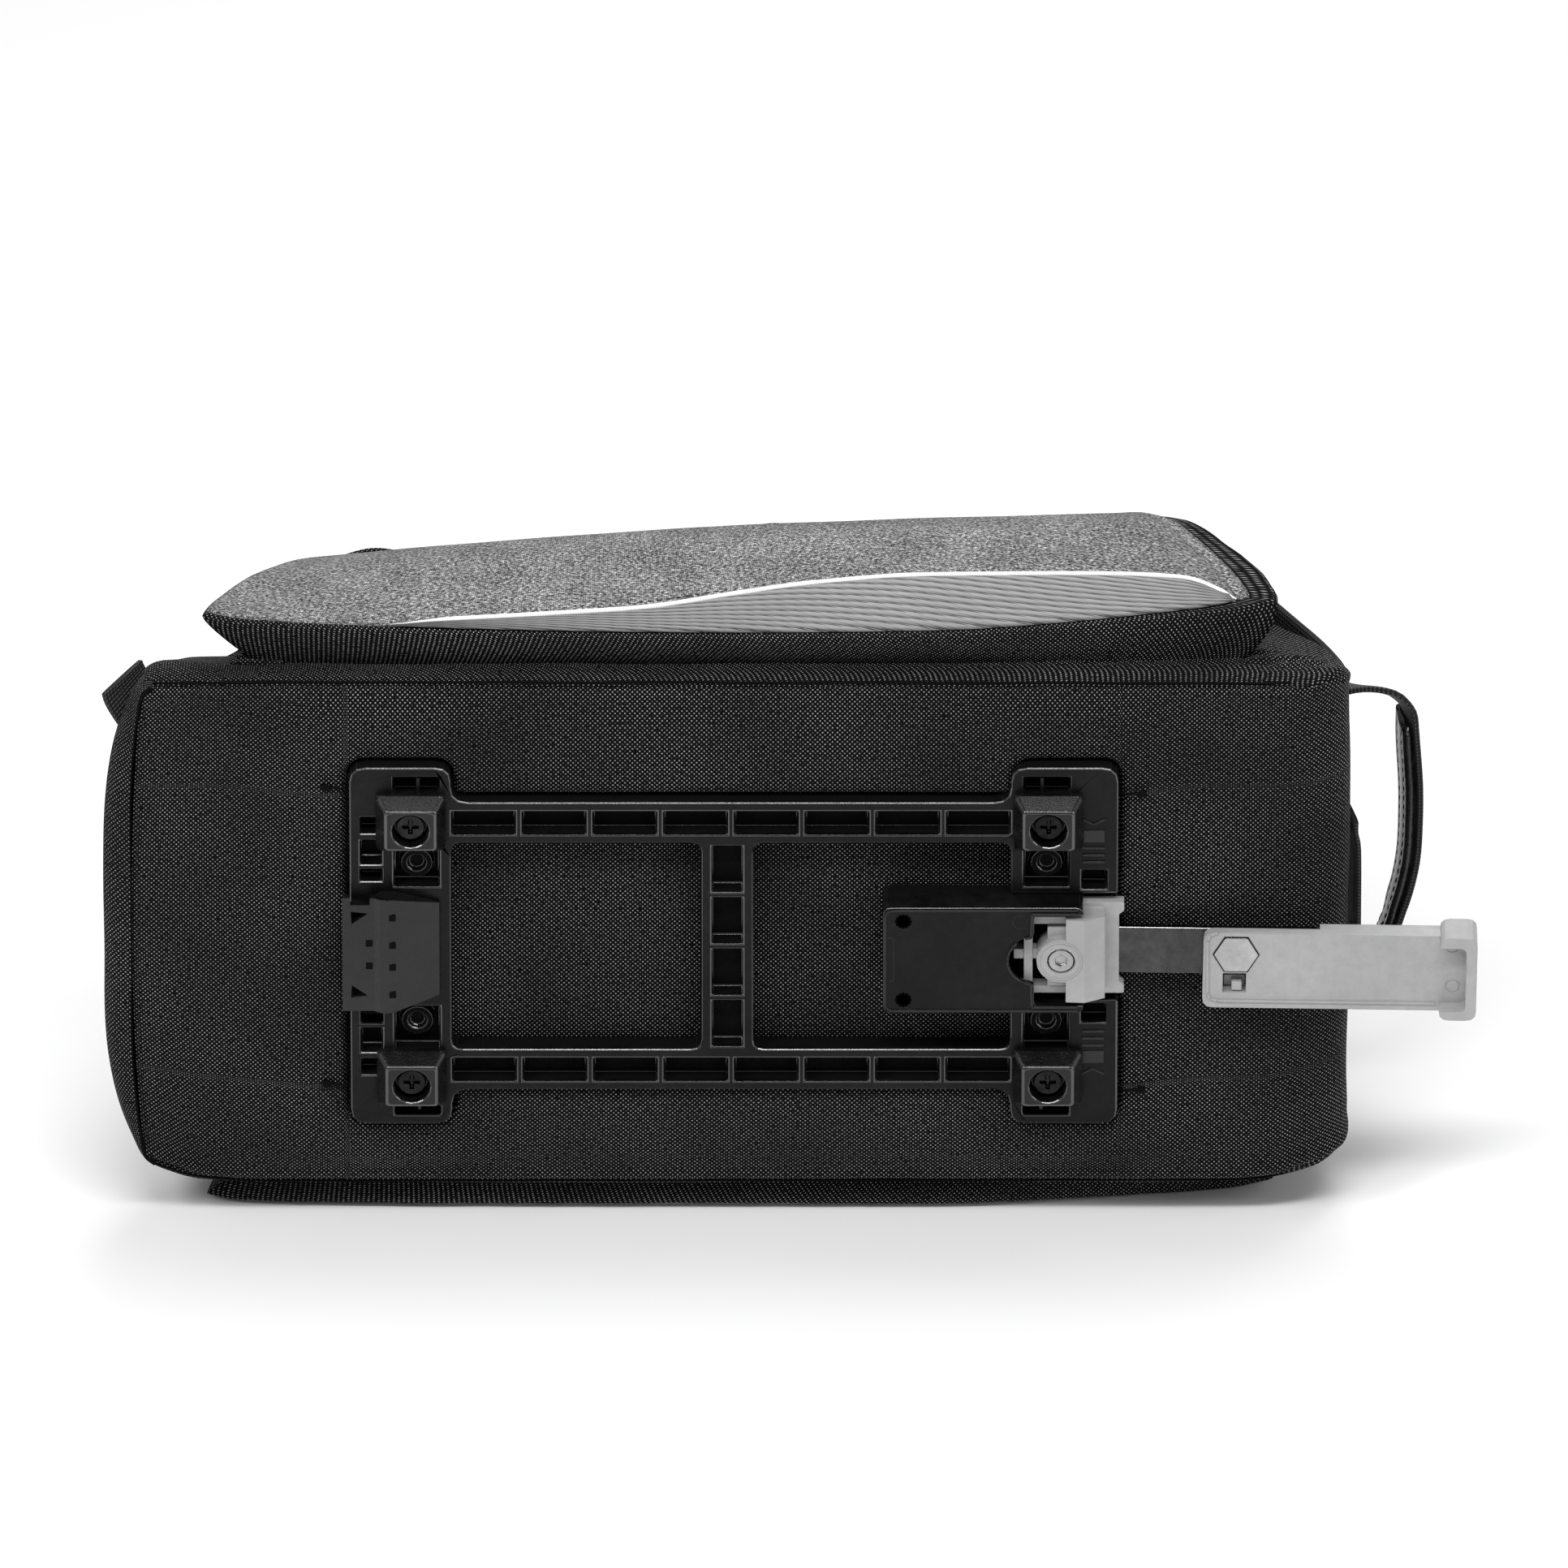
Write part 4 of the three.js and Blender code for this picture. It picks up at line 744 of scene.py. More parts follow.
def beside_plate(x, z):
    """Distance from the outline of the clamp plate, below nought inside it."""
    found = 999.0
    for middle, half_x, half_z, corner in plate_parts:
        dx, dz = abs(x - middle) - half_x + corner, abs(z) - half_z + corner
        found = min(found, math.hypot(max(dx, 0), max(dz, 0)) + min(max(dx, dz), 0) - corner)
    return found


def swelling(x, z):
    """How far the padded base stands out round the clamp plate."""
    distance = beside_plate(x, z)
    rise = 5.4 * (1 - math.exp(-max(distance - 0.3, 0) / 0.65)) * (1 - soft_step(distance, 4, 44))
    return rise * (1 - 0.62 * soft_step(x, 112, 118) * bell(z, -3, 24))


def base_place(u, v):
    along, across = line_at(strip_lines, u), line_at(width_lines, v)
    x, y = read(strip_rows, along)
    nx, ny = read(strip_rows, min(along + 1, strip_length))
    px, py = read(strip_rows, max(along - 1, 0))
    size = math.hypot(nx - px, ny - py)
    inward = (-(ny - py) / size, (nx - px) / size)
    half = body_half(x, y, 1 if across > 0 else -1) - seam_inset
    z = across / strip_half * half
    if along < 60:
        x += bell(along, 0, 20) * 3.4 * (z / half) ** 2
    free = soft_step(along, 286, 330)
    rim = half - abs(z)
    sink = edge_roll(rim, 2.2, 2.6) + edge_roll(along, 2, 0.6) - bell(rim, 2.6, 1.8) * 0.25
    sink += 0.25 + 0.25 * ripple(x, y, z, 38) + free * 0.8 * ripple(x, y, z, 30, 3)
    sink += bell(rim, 6.5, 2.2) * 0.3
    if along < 330:
        sink -= swelling(x, z) * (1 - soft_step(abs(z), 74, 83)) * (1 - free)
    return x + inward[0] * sink, y + inward[1] * sink, z


base_panel = sewn_panel("base_and_tail_panel", base_place, (len(strip_lines) - 1, len(width_lines) - 1), 1.2,
                        bag_heart, basket_cloth)
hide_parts("body_shell")


# %% Side panels
side_start, side_stop = 2.3, 112
side_lines = laid_lines(side_start, side_stop, 2.6, [side_start], (0.15, 0.4, 0.8, 1.3, 2.0, 3.0, 4.4))
side_run = laid_lines(0, 1, 0.0075, [0, 1], [sign * offset for sign in (-1, 1) for offset in (
    0.012, 0.008, 0.0045, 0.002, 0.0008)])


def side_place(side):
    def place(u, v):
        up = line_at(side_lines, v)
        low, high = nose_line(up / tail_height, 1), read(tail_rows, up / tail_height) - seam_inset
        x = mix(low, high, line_at(side_run, u))
        y = mix(side_start, zip_share * height_at(x), (up - side_start) / (side_stop - side_start))
        half = body_half(x, y, side)
        drop = edge_roll(x - low, 5, 2.2) + edge_roll(high - x, 2.4, 2.8)
        drop += edge_roll(y - side_start, 2.4, 3.0)
        drop -= 2.2 * bell(x, -162, 12) * bell(y, 13, 8) + 0.6 * ripple(x, y, side * 80, 34, 5)
        creased = soft_step(x, 148, 158) * (1 - soft_step(x, 172, 180)) * bell(y, 17, 9)
        drop -= creased * (0.9 * math.sin(y * 0.9 + x * 0.24) + 0.5 * ripple(x, y, 0, 7, 8))
        return x, y, side * (half - drop)
    return place


def side_name(side):
    return "upper" if side > 0 else "lower"


for side in (1, -1):
    side_panel = sewn_panel(f"side_panel_{side_name(side)}", side_place(side),
                            (len(side_run) - 1, len(side_lines) - 1), 1.2, bag_heart, basket_cloth)
    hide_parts("body_shell")


# %% Nose panel
def nose_place(u, v):
    share = 0.003 + 0.797 * v ** 1.7
    across = 2 * u - 1
    x = nose_line(share, across)
    half = body_half(nose_line(share, 1), share * height_at(x), 1 if across > 0 else -1)
    z = across * half
    sink = edge_roll(half - abs(z), 6, 2.6) + edge_roll(share * 100, 1.8, 0.5)
    return x + sink + 0.4 * ripple(x, share * 100, z, 28, 9), share * height_at(x), z


nose_panel = sewn_panel("nose_panel", nose_place, (84, 60), 1.4, bag_heart, basket_cloth)
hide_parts("body_shell")


# %% [markdown]
# The lid is a padded top panel with rounded corners, sewn to the zip all round. A square grid is laid
# over it so that its rings shrink towards the middle, and the outer rings turn down to the zip. The
# foam inside makes a shallow crown with a narrow groove round it.

# %% Lid
lid_half_width = 85.5
lid_rows = [(0.0, 1.012, 0.0, 0.0, 0.0, 0.0), (0.40, 1.012, 0.40, 0.43, 0.33, 0.1),
            (0.64, 1.004, 0.580, 0.630, 0.500, 0.2), (0.78, 0.988, 0.650, 0.695, 0.610, 0.3),
            (0.88, 0.952, 0.690, 0.732, 0.690, 0.4), (0.95, 0.900, 0.712, 0.754, 0.728, 0.5),
            (1.0, 0.843, 0.727, 0.771, 0.746, 0.5)]


def lid_place(u, v):
    a, b = 2 * u - 1, 2 * v - 1
    ring = max(abs(a), abs(b), 1e-6)
    share, nose, tail, width, bulge = read(lid_rows, ring)
    a, b = a / ring, b / ring
    pull = 1 - 0.035 * (abs(a) * abs(b)) ** 5
    z = b * lid_half_width * width * (1 - 0.08 * (abs(a) * abs(b)) ** 5)
    low = -half_length * nose - 12 * bulge * (1 - b * b)
    x = mix(low, half_length * tail, (a * pull + 1) / 2)
    y = share * height_at(x) - 0.9 * bell(ring, 0.70, 0.012) + 0.5 * ripple(x, 0, z, 40, 2)
    return x, y, z


lid_top = sewn_panel("lid_panel", lid_place, (110, 70), 2.0, bag_heart, basket_cloth)
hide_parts("lid")

# %% [markdown]
# Each side pocket has a stiff face that bulges out, and a soft black gusset between the face and the
# bag. The face is a tilted quadrilateral with round corners. Its shape is read from one table of how
# far it stands from the bag's middle, at the nose side, in the middle and at the tail side.

# %% Shape of the pockets
pocket_reach = 104
floor_reach = 98.9
pocket_foot = 12.5
pocket_top_share = 0.78
rim_x = (-156.5, 157.5)
crest_x = (-126, 108)
half_along = 150
half_up = 50
piping_start = -0.66
pocket_rows = [(-1.0, 0.995, 0.949, 0.995), (-0.5, 0.958, 0.986, 1.0), (0.0, 0.920, 0.990, 1.0),
               (0.35, 0.875, 0.962, 0.958), (0.7, 0.827, 0.880, 0.862), (1.0, 0.770, 0.760, 0.700)]
near_rows = [(-1.0, pocket_foot), (-0.93, 9.0), (-0.8, 8.5), (0.4, 8.5), (0.62, 10.7), (0.77, 13.0),
             (0.925, 15.8), (1.0, 20.0)]
piping_rows = [(piping_start, -1.0), (-0.55, -0.91), (-0.34, -0.82), (-0.16, -0.755), (0.025, -0.62),
               (0.185, -0.515), (0.405, -0.446), (0.59, -0.482), (0.77, -0.543), (0.895, -0.63),
               (0.93, -0.71), (0.956, -0.82), (0.975, -1.0), (1.0, -1.0)]


def soft_corner(a, b):
    """Rounds the corners of the square from -1 to 1."""
    pull = (abs(a) * abs(b)) ** 4
    ends = 0.012 if b < 0 else (0.07 if a > 0 else 0.11)
    return a * (1 - ends * pull), b * (1 - (0.05 if b < 0 else 0.12) * pull)


def pocket_plan(a, b, foot=0.0):
    """X and Y on a pocket; foot is 0 at the face and 1 at the bag."""
    s, t = (a + 1) / 2, (b + 1) / 2
    x = mix(mix(rim_x[0] + 17 * foot, rim_x[1] - 4 * foot, s), mix(*crest_x, s), t)
    x += 2.4 * max(a, 0) ** 4 * (1 - b * b)
    near = mix(read(near_rows, a), pocket_foot, foot ** 1.6)
    return x, mix(near, pocket_top_share * height_at(x), t)


def pocket_out(a, b, side):
    """How far the face stands from the bag's middle plane."""
    left, middle, right = read(pocket_rows, b)
    a = clamp(a, -1)
    out = pocket_reach * (middle + (right - left) / 2 * a + ((right + left) / 2 - middle) * a * a)
    return min(out, floor_reach) if side < 0 else out


def face_spot(a, b, side, sink=0.0):
    """A place on a pocket face, in bag millimetres."""
    a, b = soft_corner(a, b)
    x, y = pocket_plan(a, b)
    return x, y, side * (pocket_out(a, b, side) - sink)


# %% [markdown]
# The face is cut along the pale piping into a grey heather part and a ribbed vinyl part. Both rules
# run from the piping to the rim, so the two cloths share one edge. They dip where the piping is sewn
# in, and a little at the rim.

# %% Face panels
def heather_place(side):
    def place(u, v):
        a = 2 * u - 1
        low = read(piping_rows, max(a, piping_start))
        b = mix(low, 1, v)
        sink = edge_roll((b - low) * half_up, 3.2, 1.3) + edge_roll((1 - abs(a)) * half_along, 4, 1.0)
        sink += edge_roll((1 - b) * half_up, 4, 1.0)
        sink -= 0.35 * ripple(a * half_along, b * half_up, side * 9, 30, 4)
        return face_spot(a, b, side, max(sink, 0) if side < 0 else sink)
    return place


def ribbed_place(side):
    def place(u, v):
        a = mix(piping_start, 0.975, u)
        high = read(piping_rows, a)
        b = mix(-1, high, v)
        sink = edge_roll((high - b) * half_up, 2.6, 1.3) + edge_roll((b + 1) * half_up, 3, 0.9)
        return face_spot(a, b, side, sink)
    return place


for side in (1, -1):
    heather_panel = sewn_panel(f"heather_face_{side_name(side)}", heather_place(side), (140, 60), 1.6,
                               (0, 45, side * 60), heather_cloth)
    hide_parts(f"heather_panel_{side_name(side)}")
    ribbed_panel = sewn_panel(f"ribbed_face_{side_name(side)}", ribbed_place(side), (130, 26), 0.7,
                              (0, 45, side * 60), ribbed_vinyl)
    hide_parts(f"ribbed_panel_{side_name(side)}")

# %% [markdown]
# The gusset is one long ring of soft cloth. It starts under the rim of the face, bulges where nothing
# supports it, most of all at the tail end, and ends in a seam on the bag's side. It is the same grid
# as before, bent round until its two ends meet.

# %% Gussets
def rim_square(u):
    """A place on the rim of the square from -1 to 1, by share of the way round."""
    t = (u % 1.0) * 8
    if t < 3:
        return -1 + 2 * t / 3, -1.0
    if t < 4:
        return 1.0, -1 + 2 * (t - 3)
    if t < 7:
        return 1 - 2 * (t - 4) / 3, 1.0
    return -1.0, 1 - 2 * (t - 7)


def gusset_place(side):
    def place(u, v):
        a, b = soft_corner(*rim_square(u))
        x, y = pocket_plan(a, b, v)
        belly = math.sin(math.pi * v ** 0.45) ** 0.7 if 0 < v < 1 else 0.0
        x += belly * (max(a, 0) ** 6 * (7.8 + 3.2 * bell(b, -0.6, 0.5)) - max(-a, 0) ** 6 * 2.6)
        y += belly * (max(b, 0) ** 6 * 3.0 - max(-b, 0) ** 6 * 1.9)
        skin = body_half(x, y, side) - 1.2
        rim = pocket_out(a, b, side) - 1.2
        pucker = belly * (0.5 * ripple(x, y, v * 30, 14, 6) + 0.7 * bell(a, 1, 0.25) * math.sin(y * 0.55))
        z = mix(rim, skin, v) + (0 if side < 0 else 1.2 * belly * bell(v, 0.15, 0.2) * max(a, 0) ** 4)
        if side > 0:
            z += (6.0 * bell(x, -107, 11) + 8.5 * bell(x, 14, 18)) * bell(v, 0.12, 0.12) * max(b, 0) ** 6
        x += pucker * max(abs(a) - 0.6, 0)
        y -= pucker * 0.6 * max(-b, 0)
        return x, y, side * z
    return place


for side in (1, -1):
    gusset = sewn_panel(f"pocket_side_{side_name(side)}", gusset_place(side), (240, 26), 1.2,
                        (0, 45, side * 90), basket_cloth, join_ends=True, measure_at=0.19)
    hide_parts(f"pocket_gusset_{side_name(side)}")

# %% [markdown]
# Piping, straps and zip coils are all one thing to a modeller: a small outline pushed along a path.
# A circle or a flat outline is extruded again and again, and each new ring is set across the path.
# The ends are closed, and the map counts metres along and around, for the threads' texture.

# %% Helpers for things along a path
def smooth_path(points, count, closed=False):
    """An even, smooth line through a few places, in bag millimetres."""
    spots = [Vector(p) for p in points]
    last = len(spots) if closed else len(spots) - 1
    steps_each = 16
    dense = []
    for k in range(last * steps_each + (0 if closed else 1)):
        i, t = divmod(k / steps_each, 1)
        i = int(i)
        near = [(i + n) % len(spots) if closed else clamp(i + n, 0, last) for n in (-1, 0, 1, 2)]
        p = [spots[n] for n in near]
        dense.append(0.5 * (2 * p[1] + (p[2] - p[0]) * t + (2 * p[0] - 5 * p[1] + 4 * p[2] - p[3]) * t * t
                            + (3 * p[1] - p[0] - 3 * p[2] + p[3]) * t ** 3))
    if closed:
        dense.append(dense[0].copy())
    run = run_along(dense)
    even, i = [], 0
    for k in range(count + 1):
        want = run[-1] * k / count
        while i < len(run) - 2 and run[i + 1] < want:
            i += 1
        span = max(run[i + 1] - run[i], 1e-12)
        even.append(dense[i].lerp(dense[i + 1], clamp((want - run[i]) / span)))
    return even


def swept(name, path, outline, across, material, closed=False, swell=None):
    """Pushes a closed outline of (across, out) millimetres along a path; swell scales it on the way."""
    mesh = bmesh.new()
    layer = mesh.loops.layers.uv.new("cloth_map")
    around = run_along(outline + outline[:1])
    count = len(path) - 1 if closed else len(path)
    run = run_along(path)

    def ring_places(k):
        before = path[k - 1] if k else (path[-2] if closed else path[0])
        ahead = path[(k + 1) % count] if closed else path[min(k + 1, count - 1)]
        along = (ahead - before).normalized()
        side_way = across(k / max(count - 1, 1)) if callable(across) else Vector(across)
        side_way = (side_way - along * side_way.dot(along)).normalized()
        out = along.cross(side_way)
        size = swell(k / max(count - 1, 1)) if swell else 1.0
        return [on_bag(*(path[k] + (side_way * s + out * o) * size)) for s, o in outline]

    def edges_round(ring):
        return [mesh.edges.get(pair) for pair in zip(ring, ring[1:] + ring[:1])]

    circle = bmesh.ops.create_circle(mesh, segments=len(outline), radius=1)["verts"]
    ring = sorted(circle, key=lambda v: math.atan2(v.co.y, v.co.x) % (2 * math.pi))
    for v, spot in zip(ring, ring_places(0)):
        v.co = spot
    rings = [ring]
    for k in range(1, count):
        made = bmesh.ops.extrude_edge_only(mesh, edges=edges_round(ring))["geom"]
        fresh = [g for g in made if isinstance(g, bmesh.types.BMVert)]
        partner = {edge.other_vert(v): v for v in fresh for edge in v.link_edges}
        ring = [partner[v] for v in ring]
        for v, spot in zip(ring, ring_places(k)):
            v.co = spot
        rings.append(ring)
    if closed:
        bmesh.ops.bridge_loops(mesh, edges=edges_round(rings[0]) + edges_round(rings[-1]))
    else:
        for end in (rings[0], rings[-1]):
            bmesh.ops.contextual_create(mesh, geom=end)
    number = {v: (k, i) for k, r in enumerate(rings) for i, v in enumerate(r)}
    for face in mesh.faces:
        spots = [number[loop.vert] for loop in face.loops]
        wraps = max(i for _, i in spots) - min(i for _, i in spots) > len(outline) / 2
        closes = max(k for k, _ in spots) - min(k for k, _ in spots) > count / 2
        for loop, (k, i) in zip(face.loops, spots):
            i = len(outline) if wraps and i == 0 else i
            k = len(path) - 1 if closes and k == 0 else k
            loop[layer].uv = (run[k], around[i])
    bmesh.ops.recalc_face_normals(mesh, faces=mesh.faces)
    return as_piece(name, mesh, material)


def round_outline(radius, sides=12):
    turns = [2 * math.pi * i / sides for i in range(sides)]
    return [(radius * math.cos(turn), radius * math.sin(turn)) for turn in turns]


def strap_outline(width, wall, steps=10):
    """A flat strap with rounded edges and slightly domed faces."""
    top = [(mix(width / 2, -width / 2, i / steps), wall / 2 * (1 - 0.25 * abs(2 * i / steps - 1) ** 4))
           for i in range(steps + 1)]
    return [(s * (1 if abs(s) < width / 2 else 0.985), o) for s, o in top] + [(-s, -o) for s, o in top]


# %% Piping
def piping_swell(share):
    """The cord comes out of the seam at one end and dives into it at the other."""
    return 0.1 + 0.9 * soft_step(share, 0, 0.08) * (1 - 0.8 * soft_step(share, 0.975, 1))


for side in (1, -1):
    sink = 0.7 if side > 0 else 1.45
    path = smooth_path([face_spot(a, max(read(piping_rows, a), -0.985), side, sink)
                        for a in spread(-0.64, 0.972, 33)], 170)
    cord = swept(f"piping_cord_{side_name(side)}", path, round_outline(1.05), (0, 1, 0.2), white_piping,
                 swell=piping_swell)
    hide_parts(f"piping_{side_name(side)}")
    print(cord.name, round(run_along(path)[-1] * 1000), "mm long")

# %% [markdown]
# The straps are woven webbing: a handle that bows away from the tail end with a glossy pad inside it,
# a low loop for a rear lamp, a strap up the corner of the tail and a small doubled tab on the nose.
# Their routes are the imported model's, in the same millimetres.

# %% Places on the tail end
def on_tail(y, off, z):
    """A place at a height on the tail end, so far off its cloth."""
    return Vector((read(tail_rows, y / tail_height) + off, y, z))


tail_slope = (on_tail(84, 0, 0) - on_tail(56, 0, 0)).normalized()
carry_points = [(0.010, 1.00), (0.015, 0.86), (0.250, 0.78), (0.700, 0.76), (0.860, 0.71), (0.940, 0.60),
                (0.990, 0.32), (1.000, 0.06), (0.980, -0.18), (0.910, -0.40), (0.800, -0.58), (0.560, -0.71),
                (0.220, -0.80), (0.015, -0.88), (0.010, -1.00)]
carry_height, carry_bow, carry_half = 64, 37, 61
carry_path = smooth_path([on_tail(carry_height, off * carry_bow + 1.1, across * carry_half)
                          for off, across in carry_points], 120)
edge_on = Vector((-0.1, 0.87, -0.48))


def carry_across(share):
    """The strap lies flat on the tail at its ends and turns its edge to the front between them."""
    free = soft_step(share, 0.06, 0.2) * (1 - soft_step(share, 0.8, 0.94))
    return tail_slope.lerp(edge_on, free).normalized()


# %% Carry handle and its pad
carry = swept("carry_webbing", carry_path, strap_outline(22, 2.0), carry_across, webbing)
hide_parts("carry_handle")
pad_start, pad_stop = 36, 92
pad_path = []
for k in range(pad_start, pad_stop):
    along = (carry_path[k + 1] - carry_path[k - 1]).normalized()
    inward = edge_on.cross(along).normalized()
    if inward.x > 0:
        inward.negate()
    bulge = 1 - abs(2 * (k - pad_start) / (pad_stop - pad_start - 1) - 1) ** 6
    pad_path.append(carry_path[k] + inward * (1.2 + 1.3 * bulge))
pad_half = [(9.6, -0.5), (9.6, 0.5), (9.1, 1.5), (7.2, 1.9), (5.2, 1.2), (3.4, 1.8)]
pad_outline = pad_half[1:] + [(0, 2.1)] + [(-s, o) for s, o in pad_half[::-1]] + [
    (-7, -0.9), (0, -0.9), (7, -0.9), pad_half[0]]
pad_out = (pad_path[28] - carry_path[64]).normalized()
pad_along = (pad_path[29] - pad_path[27]).normalized()
if pad_along.cross(edge_on).dot(pad_out) < 0:
    pad_outline = [(s, -o) for s, o in pad_outline][::-1]
grip = swept("grip_padding", pad_path, pad_outline, edge_on, gloss_vinyl)
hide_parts("grip_pad")

# %% Light loop, corner strap and nose tab
loop_points = [(0.1, 1), (0.1, 0.86), (1, 0.66), (1.15, 0), (1, -0.66), (0.1, -0.86), (0.1, -1)]
loop_path = smooth_path([on_tail(25, off * 0.9 + 1.3, across * 28) for off, across in loop_points], 60)
light_loop = swept("light_loop_webbing", loop_path, strap_outline(17, 2.0),
                   on_tail(33, 0, 0) - on_tail(17, 0, 0), webbing)
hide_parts("light_loop")
corner_points = [(30, 0, 62.5), (40, 0.2, 61), (54, 0.4, 59.5), (70, 0.5, 57.8), (86, 0.4, 56.6),
                 (100, 0.2, 55), (112, 0, 54)]
corner_path = smooth_path([on_tail(y, off * 7 + 1.5, z) for y, off, z in corner_points], 70)
corner = swept("corner_webbing", corner_path, strap_outline(18, 2.0), (0, 0, 1), webbing)
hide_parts("corner_strap")
tab_start = Vector((-176.2, 16, 71.6))
tab_out = Vector((-0.488, -0.036, 0.873))
tab_curl = Vector((0.5, 0, 0.2))
tab_path = smooth_path([tab_start + tab_out * out + tab_curl * curl
                        for out, curl in ((-3, 0), (1.5, 0), (5, 0.5), (7.4, 1.6))], 18)
tab = swept("nose_tab_webbing", tab_path, strap_outline(19, 1.7), (0.53, 0.78, 0.33), webbing)
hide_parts("nose_tab")
print("straps:", [o.name for o in (carry, grip, light_loop, corner, tab)])

# %% [markdown]
# A zip shows as a row of fine spiral turns. Modelling every turn would cost many faces, so the coil is
# a slim tube whose material draws and raises the turns. The lid's coil runs all round the mouth of
# the bag, and each pocket has one along the top of its gusset.

# %% Zip coils
def body_loop(share, out):
    """A closed line round the body at a share of its height."""
    half = read(half_width_rows, share) + out
    tail = read(tail_rows, share) + out
    upper = [(-1, 0.5), (-1, 0.9), (-0.97, 1), (-0.5, 1), (0, 1), (0.5, 1), (0.97, 1), (1, 0.9), (1, 0.5)]
    spots = []
    for a, b in [(-1, 0)] + upper + [(1, 0)] + [(a, -b) for a, b in upper[::-1]]:
        low = nose_line(share, b) - out
        x = mix(low, tail, (a + 1) / 2)
        spots.append((x, share * height_at(x), b * half))
    return spots


swept("lid_zip_coil", smooth_path(body_loop(0.822, -0.2), 320, closed=True), round_outline(1.5, 8),
      (0, 1, 0), zip_coil, closed=True)
for side in (1, -1):
    places = []
    for u in spread(0.42, 0.94, 31):
        a, b = soft_corner(*rim_square(u))
        x, y = pocket_plan(a, b, 0.12)
        z = pocket_out(a, b, side) - 4.5
        places.append((x + max(a, 0) ** 6 * 5.5, y + max(b, 0) ** 6 * 2.4, side * z))
    swept(f"pocket_zip_coil_{side_name(side)}", smooth_path(places, 200), round_outline(1.4, 8),
          (0, 1, 0.3), zip_coil)

# %% [markdown]
# Stitches are single short threads that dip into the cloth at both ends. Each one is a small stretched
# ball with few faces, laid along a seam at an even pitch. The seam between the base and each side is
# too fine for stitches to show, so a thin near-black cord lies in its groove: it stands for the thread,
# and is painted shade of the groove.

# %% Stitches
def stitch_row(name, path, normal, length, gap, thread, material):
    """Lays threads along a path in bag millimetres; normal points out of the cloth."""
    mesh = bmesh.new()
    run = 0.0
    wanted = gap
    for a, b in zip(path, path[1:]):
        step = (b - a).length
        while run + step >= wanted:
            middle = a.lerp(b, (wanted - run) / step)
            along = (b - a).normalized()
            side_way = along.cross(Vector(normal)).normalized()
            out = side_way.cross(along).normalized()
            turn_to = Matrix((along, side_way, out)).transposed().to_4x4()
            grow = Matrix.Diagonal((length / 2000, thread / 2000, thread / 2000, 1))
            bmesh.ops.create_icosphere(mesh, subdivisions=1, radius=1,
                                       matrix=Matrix.Translation(on_bag(*middle)) @ turn_to @ grow)
            wanted += length + gap
        run += step
    as_piece(name, mesh, material)


for side in (1, -1):
    seam = [Vector(face_spot(a, read(piping_rows, a) + 0.05, side, 0.35)) for a in spread(-0.6, 0.93, 90)]
    stitch_row(f"piping_stitches_{side_name(side)}", seam, (0, -0.3, side), 2.0, 0.9, 0.55, black_thread)
# A near-black cord in each base seam's groove: partly its thread, partly painted shade of the groove.
for side in (1, -1):
    seam = [(x, 2.75 + read(strip_rows, x - strip_points[0][0])[1] * 0.9,
             side * (body_half(x, 2.6, side) - 1.15)) for x in spread(-170, 166, 70)]
    swept(f"base_seam_shade_cord_{side_name(side)}", smooth_path(seam, 160), round_outline(0.42, 6), (0, 1, 0),
          pit_shade_and_black_cord)
nose_seam = [Vector((nose_line(0.004, z / 84) + 2.6, 0.25, z)) for z in spread(-78, 78, 60)]
stitch_row("nose_seam_stitches", nose_seam, (0, -1, 0), 1.8, 0.9, 0.5, black_thread)


def pad_line(across, off):
    """A line along the pad, so far across it and off its face."""
    return [p + edge_on * across + (p - q).normalized() * off
            for p, q in zip(pad_path, carry_path[pad_start:pad_stop])]


for name, across in (("low", -5.2), ("high", 5.2)):
    stitch_row(f"grip_stitches_{name}", pad_line(across, 1.6), (-1, 0, 0), 2.2, 1.0, 0.7, black_thread)
stitch_row("grip_edge_stitches", pad_line(-9.7, 0.2), -edge_on, 1.7, 3.4, 0.4, white_thread)

# %% [markdown]
# Two kinds of small things finish the cloth: the loops of cord that tie the plate through the padding,
# and the folds where the pocket's gusset is gathered at its nose end. Both are short sweeps.

# %% Tie cords and gathered folds
tie_points = [(-0.5, -4.2, 0), (2.5, -6.0, 0), (6.5, -5.9, 0.2), (8.2, -5.4, -0.3)]
tie_holes = [(-111.6, 53, -1), (-111.6, -48.5, -1), (115.5, 51, 1), (115.5, -50.5, 1)]
for number, (x, z, way) in enumerate(tie_holes):
    tie = smooth_path([(x + way * out, y, z + up) for out, y, up in tie_points], 22)
    swept(f"tie_cord_{number + 1}", tie, round_outline(0.5, 8), (0, 1, 0), pit_shade_and_black_cord,
          swell=lambda t: 0.8 + 1.9 * bell(t, 0.88, 0.12))
for side in (1, -1):
    for fold in range(3):
        spots = []
        for k in range(5):
            x = -147 + k * 4 + fold * 1.6
            y = 14.5 + fold * 2.4 - k * 0.5
            spots.append((x, y, side * (body_half(x, y, side) + 0.9 + 0.5 * fold - 0.2 * k)))
        swept(f"gathered_fold_{side_name(side)}_{fold + 1}", smooth_path(spots, 24), round_outline(1.25, 10),
              (0, 1, 0), basket_cloth, swell=lambda t: 0.55 + 0.45 * math.sin(math.pi * t))

# %% [markdown]
# The moulds leave fine relief on the hard parts: a lip round the clamp housing, grip bars, arrow marks
# and a rim round the lever. Its small pits are not cut; near-black discs and squares lie on them as
# painted shade. Each mark is a row of small bars with bevelled edges. A ray from the front finds the
# imported surface under each bar, so every mark sits on its part.

